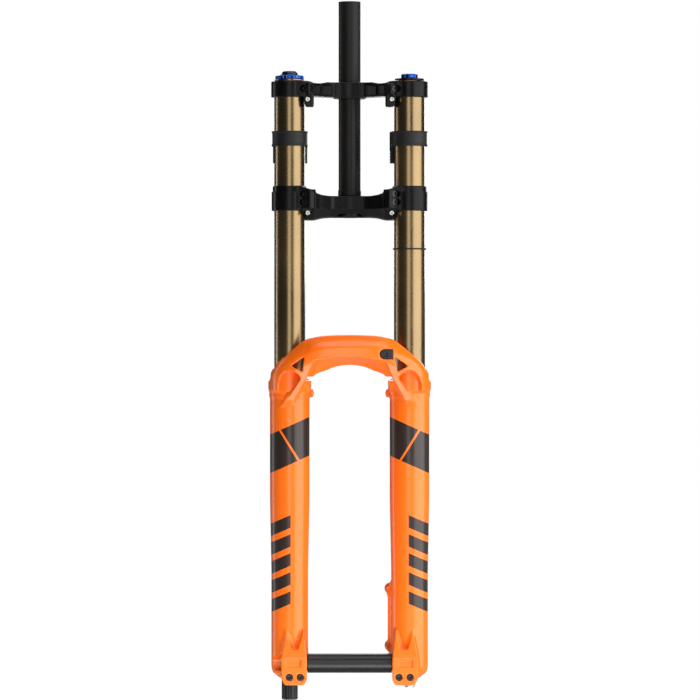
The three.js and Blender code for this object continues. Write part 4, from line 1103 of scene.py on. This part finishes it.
def painted_orange():
    """Gloss paint over cast magnesium: orange peel, a painted highlight on convex edges and dark
    decals.
    """
    made, tree, shader, place = new_material("casting_orange")
    patches = noise(tree, place, 9, 3)
    tone = mixed(tree, ranged(tree, patches, 0.35, 0.65), tuple(0.93 * c for c in ORANGE), ORANGE)
    mask = decal_mask(tree, place)
    # Convex edges are lifted towards a lighter orange as a painted highlight.
    tone = mixed(tree, painted_edge_highlights(tree, place), tone, EDGE_HIGHLIGHT_ORANGE)
    tree.links.new(mixed(tree, mask, tone, DECAL), shader.inputs["Base Color"])
    peel = noise(tree, place, 420, 2)
    rough = ranged(tree, noise(tree, place, 40, 5), 0.3, 0.7, 0.27, 0.37)
    tree.links.new(maths(tree, "ADD", rough, maths(tree, "MULTIPLY", mask, 0.08)),
                   shader.inputs["Roughness"])
    relief = put(tree, "ShaderNodeBump", {"Strength": 0.06, "Distance": 0.0004, "Height": peel})
    tree.links.new(relief.outputs[0], shader.inputs["Normal"])
    shader.inputs["Specular IOR Level"].default_value = 0.3
    shader.inputs["Coat Weight"].default_value = 0.3
    shader.inputs["Coat Roughness"].default_value = 0.15
    return made


MATERIALS = {slot: finish_of(slot, **look) for slot, look in FINISHES.items()}
MATERIALS["casting_orange"] = painted_orange()
SLOT_OF = {row["node"]: row["material_slot"] for row in frame["record"]["subparts"]}


def dress(piece, node):
    """The piece gets the slot and the material of a CAD node."""
    piece.data.materials.clear()
    piece.data.materials.append(MATERIALS[SLOT_OF[node]])


def place_piece(piece, node):
    """The piece stands for one CAD node: same body, same slot."""
    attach(piece, frame["nodes"][node]["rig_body"])
    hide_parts(node)
    dress(piece, node)


def build():
    """Makes the finer pieces, and dresses the CAD nodes that stay as they are."""
    made = turned_pieces()
    made += [(screw(node), node) for node in SCREW_LINES]
    made += [(bumper(who), f"{who}_bumper") for who in SIDES]
    made += [(bleeder(who), f"{who}_bleeder") for who in SIDES]
    made += [
        (lower_casting(), "lower_casting"),
        (crown("upper_crown", upper_crown_field), "upper_crown"),
        (crown("lower_crown", lower_crown_field), "lower_crown"),
        (hose_clip(), "hose_guide"),
        (high_speed_dial(), "high_speed_dial"),
        (rebound_dial(), "rebound_dial"),
        (valve_cap(), "air_valve_cap"),
        (axle(), "axle"),
        (axle_sleeve(), "axle_sleeve"),
        (air_foot_bolt(), "air_foot_bolt"),
    ]
    for piece, node in made:
        place_piece(piece, node)
    for node in sorted(set(frame["nodes"]) - {name for _, name in made}):
        dress(frame["nodes"][node], node)


# ---- stage, camera and light ----
TARGET = Vector((0.0005, LEG_Y * MM, -0.199))
LENS = 239
DISTANCE = 6.0
FLOOR_HALF = 20
FLOOR_DROP = 0.35
FLOOR_GLOW = {"seen": 1.0, "cast": 0.30}
LIGHTS = {  # azimuth, elevation, distance, width and height, power
    "key": (62, 8, 1.5, (2.0, 1.8), 41),
    "front_fill": (-4, 10, 2.2, (0.8, 1.8), 12),
    "rear_strip": (-112, 0, 1.4, (0.3, 1.8), 4.5),
    "top": (20, 75, 1.6, (1.6, 1.2), 16),
    "under": (5, -62, 0.9, (1.0, 0.6), 11),
    "back": (170, 25, 2.0, (1.6, 1.6), 25),
}


def add_floor():
    """A pale floor that looks white and lights the object only a little from below."""
    size, height = FLOOR_HALF / MM, (CAD_BOX[0][2] - FLOOR_DROP) / MM
    corners = [(-size, -size), (size, -size), (size, size), (-size, size)]
    floor = mesh_object("floor", [(*corner, height) for corner in corners], [(0, 1, 2, 3)])
    made, tree, shader, place = new_material("pale_floor")
    shade = mixed(tree, noise(tree, place, 3), (0.11, 0.11, 0.11), (0.13, 0.13, 0.13))
    tree.links.new(shade, shader.inputs["Base Color"])
    shader.inputs["Roughness"].default_value = 1.0
    shader.inputs["Emission Color"].default_value = (1, 1, 1, 1)
    to_camera = put(tree, "ShaderNodeLightPath").outputs["Is Camera Ray"]
    glow = ranged(tree, to_camera, 0, 1, FLOOR_GLOW["cast"], FLOOR_GLOW["seen"])
    tree.links.new(glow, shader.inputs["Emission Strength"])
    floor.data.materials.append(made)


def add_softbox(name, azimuth, elevation, distance, size, power):
    """A soft light that looks at the object. Azimuth 0 is in front and 90 is at the air side."""
    light = bpy.data.lights.new(name, "AREA")
    light.shape = "RECTANGLE"
    light.size, light.size_y = size
    light.energy = power
    lamp = bpy.data.objects.new(name, light)
    bpy.context.scene.collection.objects.link(lamp)
    a, e = math.radians(azimuth), math.radians(elevation)
    away = Vector((math.sin(a) * math.cos(e), -math.cos(a) * math.cos(e), math.sin(e)))
    lamp.location = TARGET + away * distance
    lamp.rotation_euler = (-away).to_track_quat("-Z", "Y").to_euler()
    lamp.visible_camera = False


def add_world():
    """White to the camera and nearly dark to the object, which the soft boxes light."""
    world = bpy.data.worlds.new("studio")
    bpy.context.scene.world = world
    world.use_nodes = True
    tree = world.node_tree
    to_camera = put(tree, "ShaderNodeLightPath").outputs["Is Camera Ray"]
    colour = mixed(tree, to_camera, (0.02, 0.02, 0.02), (1, 1, 1))
    tree.links.new(colour, tree.nodes["Background"].inputs["Color"])


def add_camera():
    camera = bpy.data.objects.new("camera", bpy.data.cameras.new("camera"))
    bpy.context.scene.collection.objects.link(camera)
    camera.data.lens = LENS
    camera.data.sensor_width = 36
    camera.location = TARGET - Vector((0, DISTANCE, 0))
    camera.rotation_euler = (math.pi / 2, 0, 0)
    bpy.context.scene.camera = camera


build()
add_floor()
for light_name, placing in LIGHTS.items():
    add_softbox(light_name, *placing)
add_world()
add_camera()
bpy.context.scene.view_settings.view_transform = "Standard"
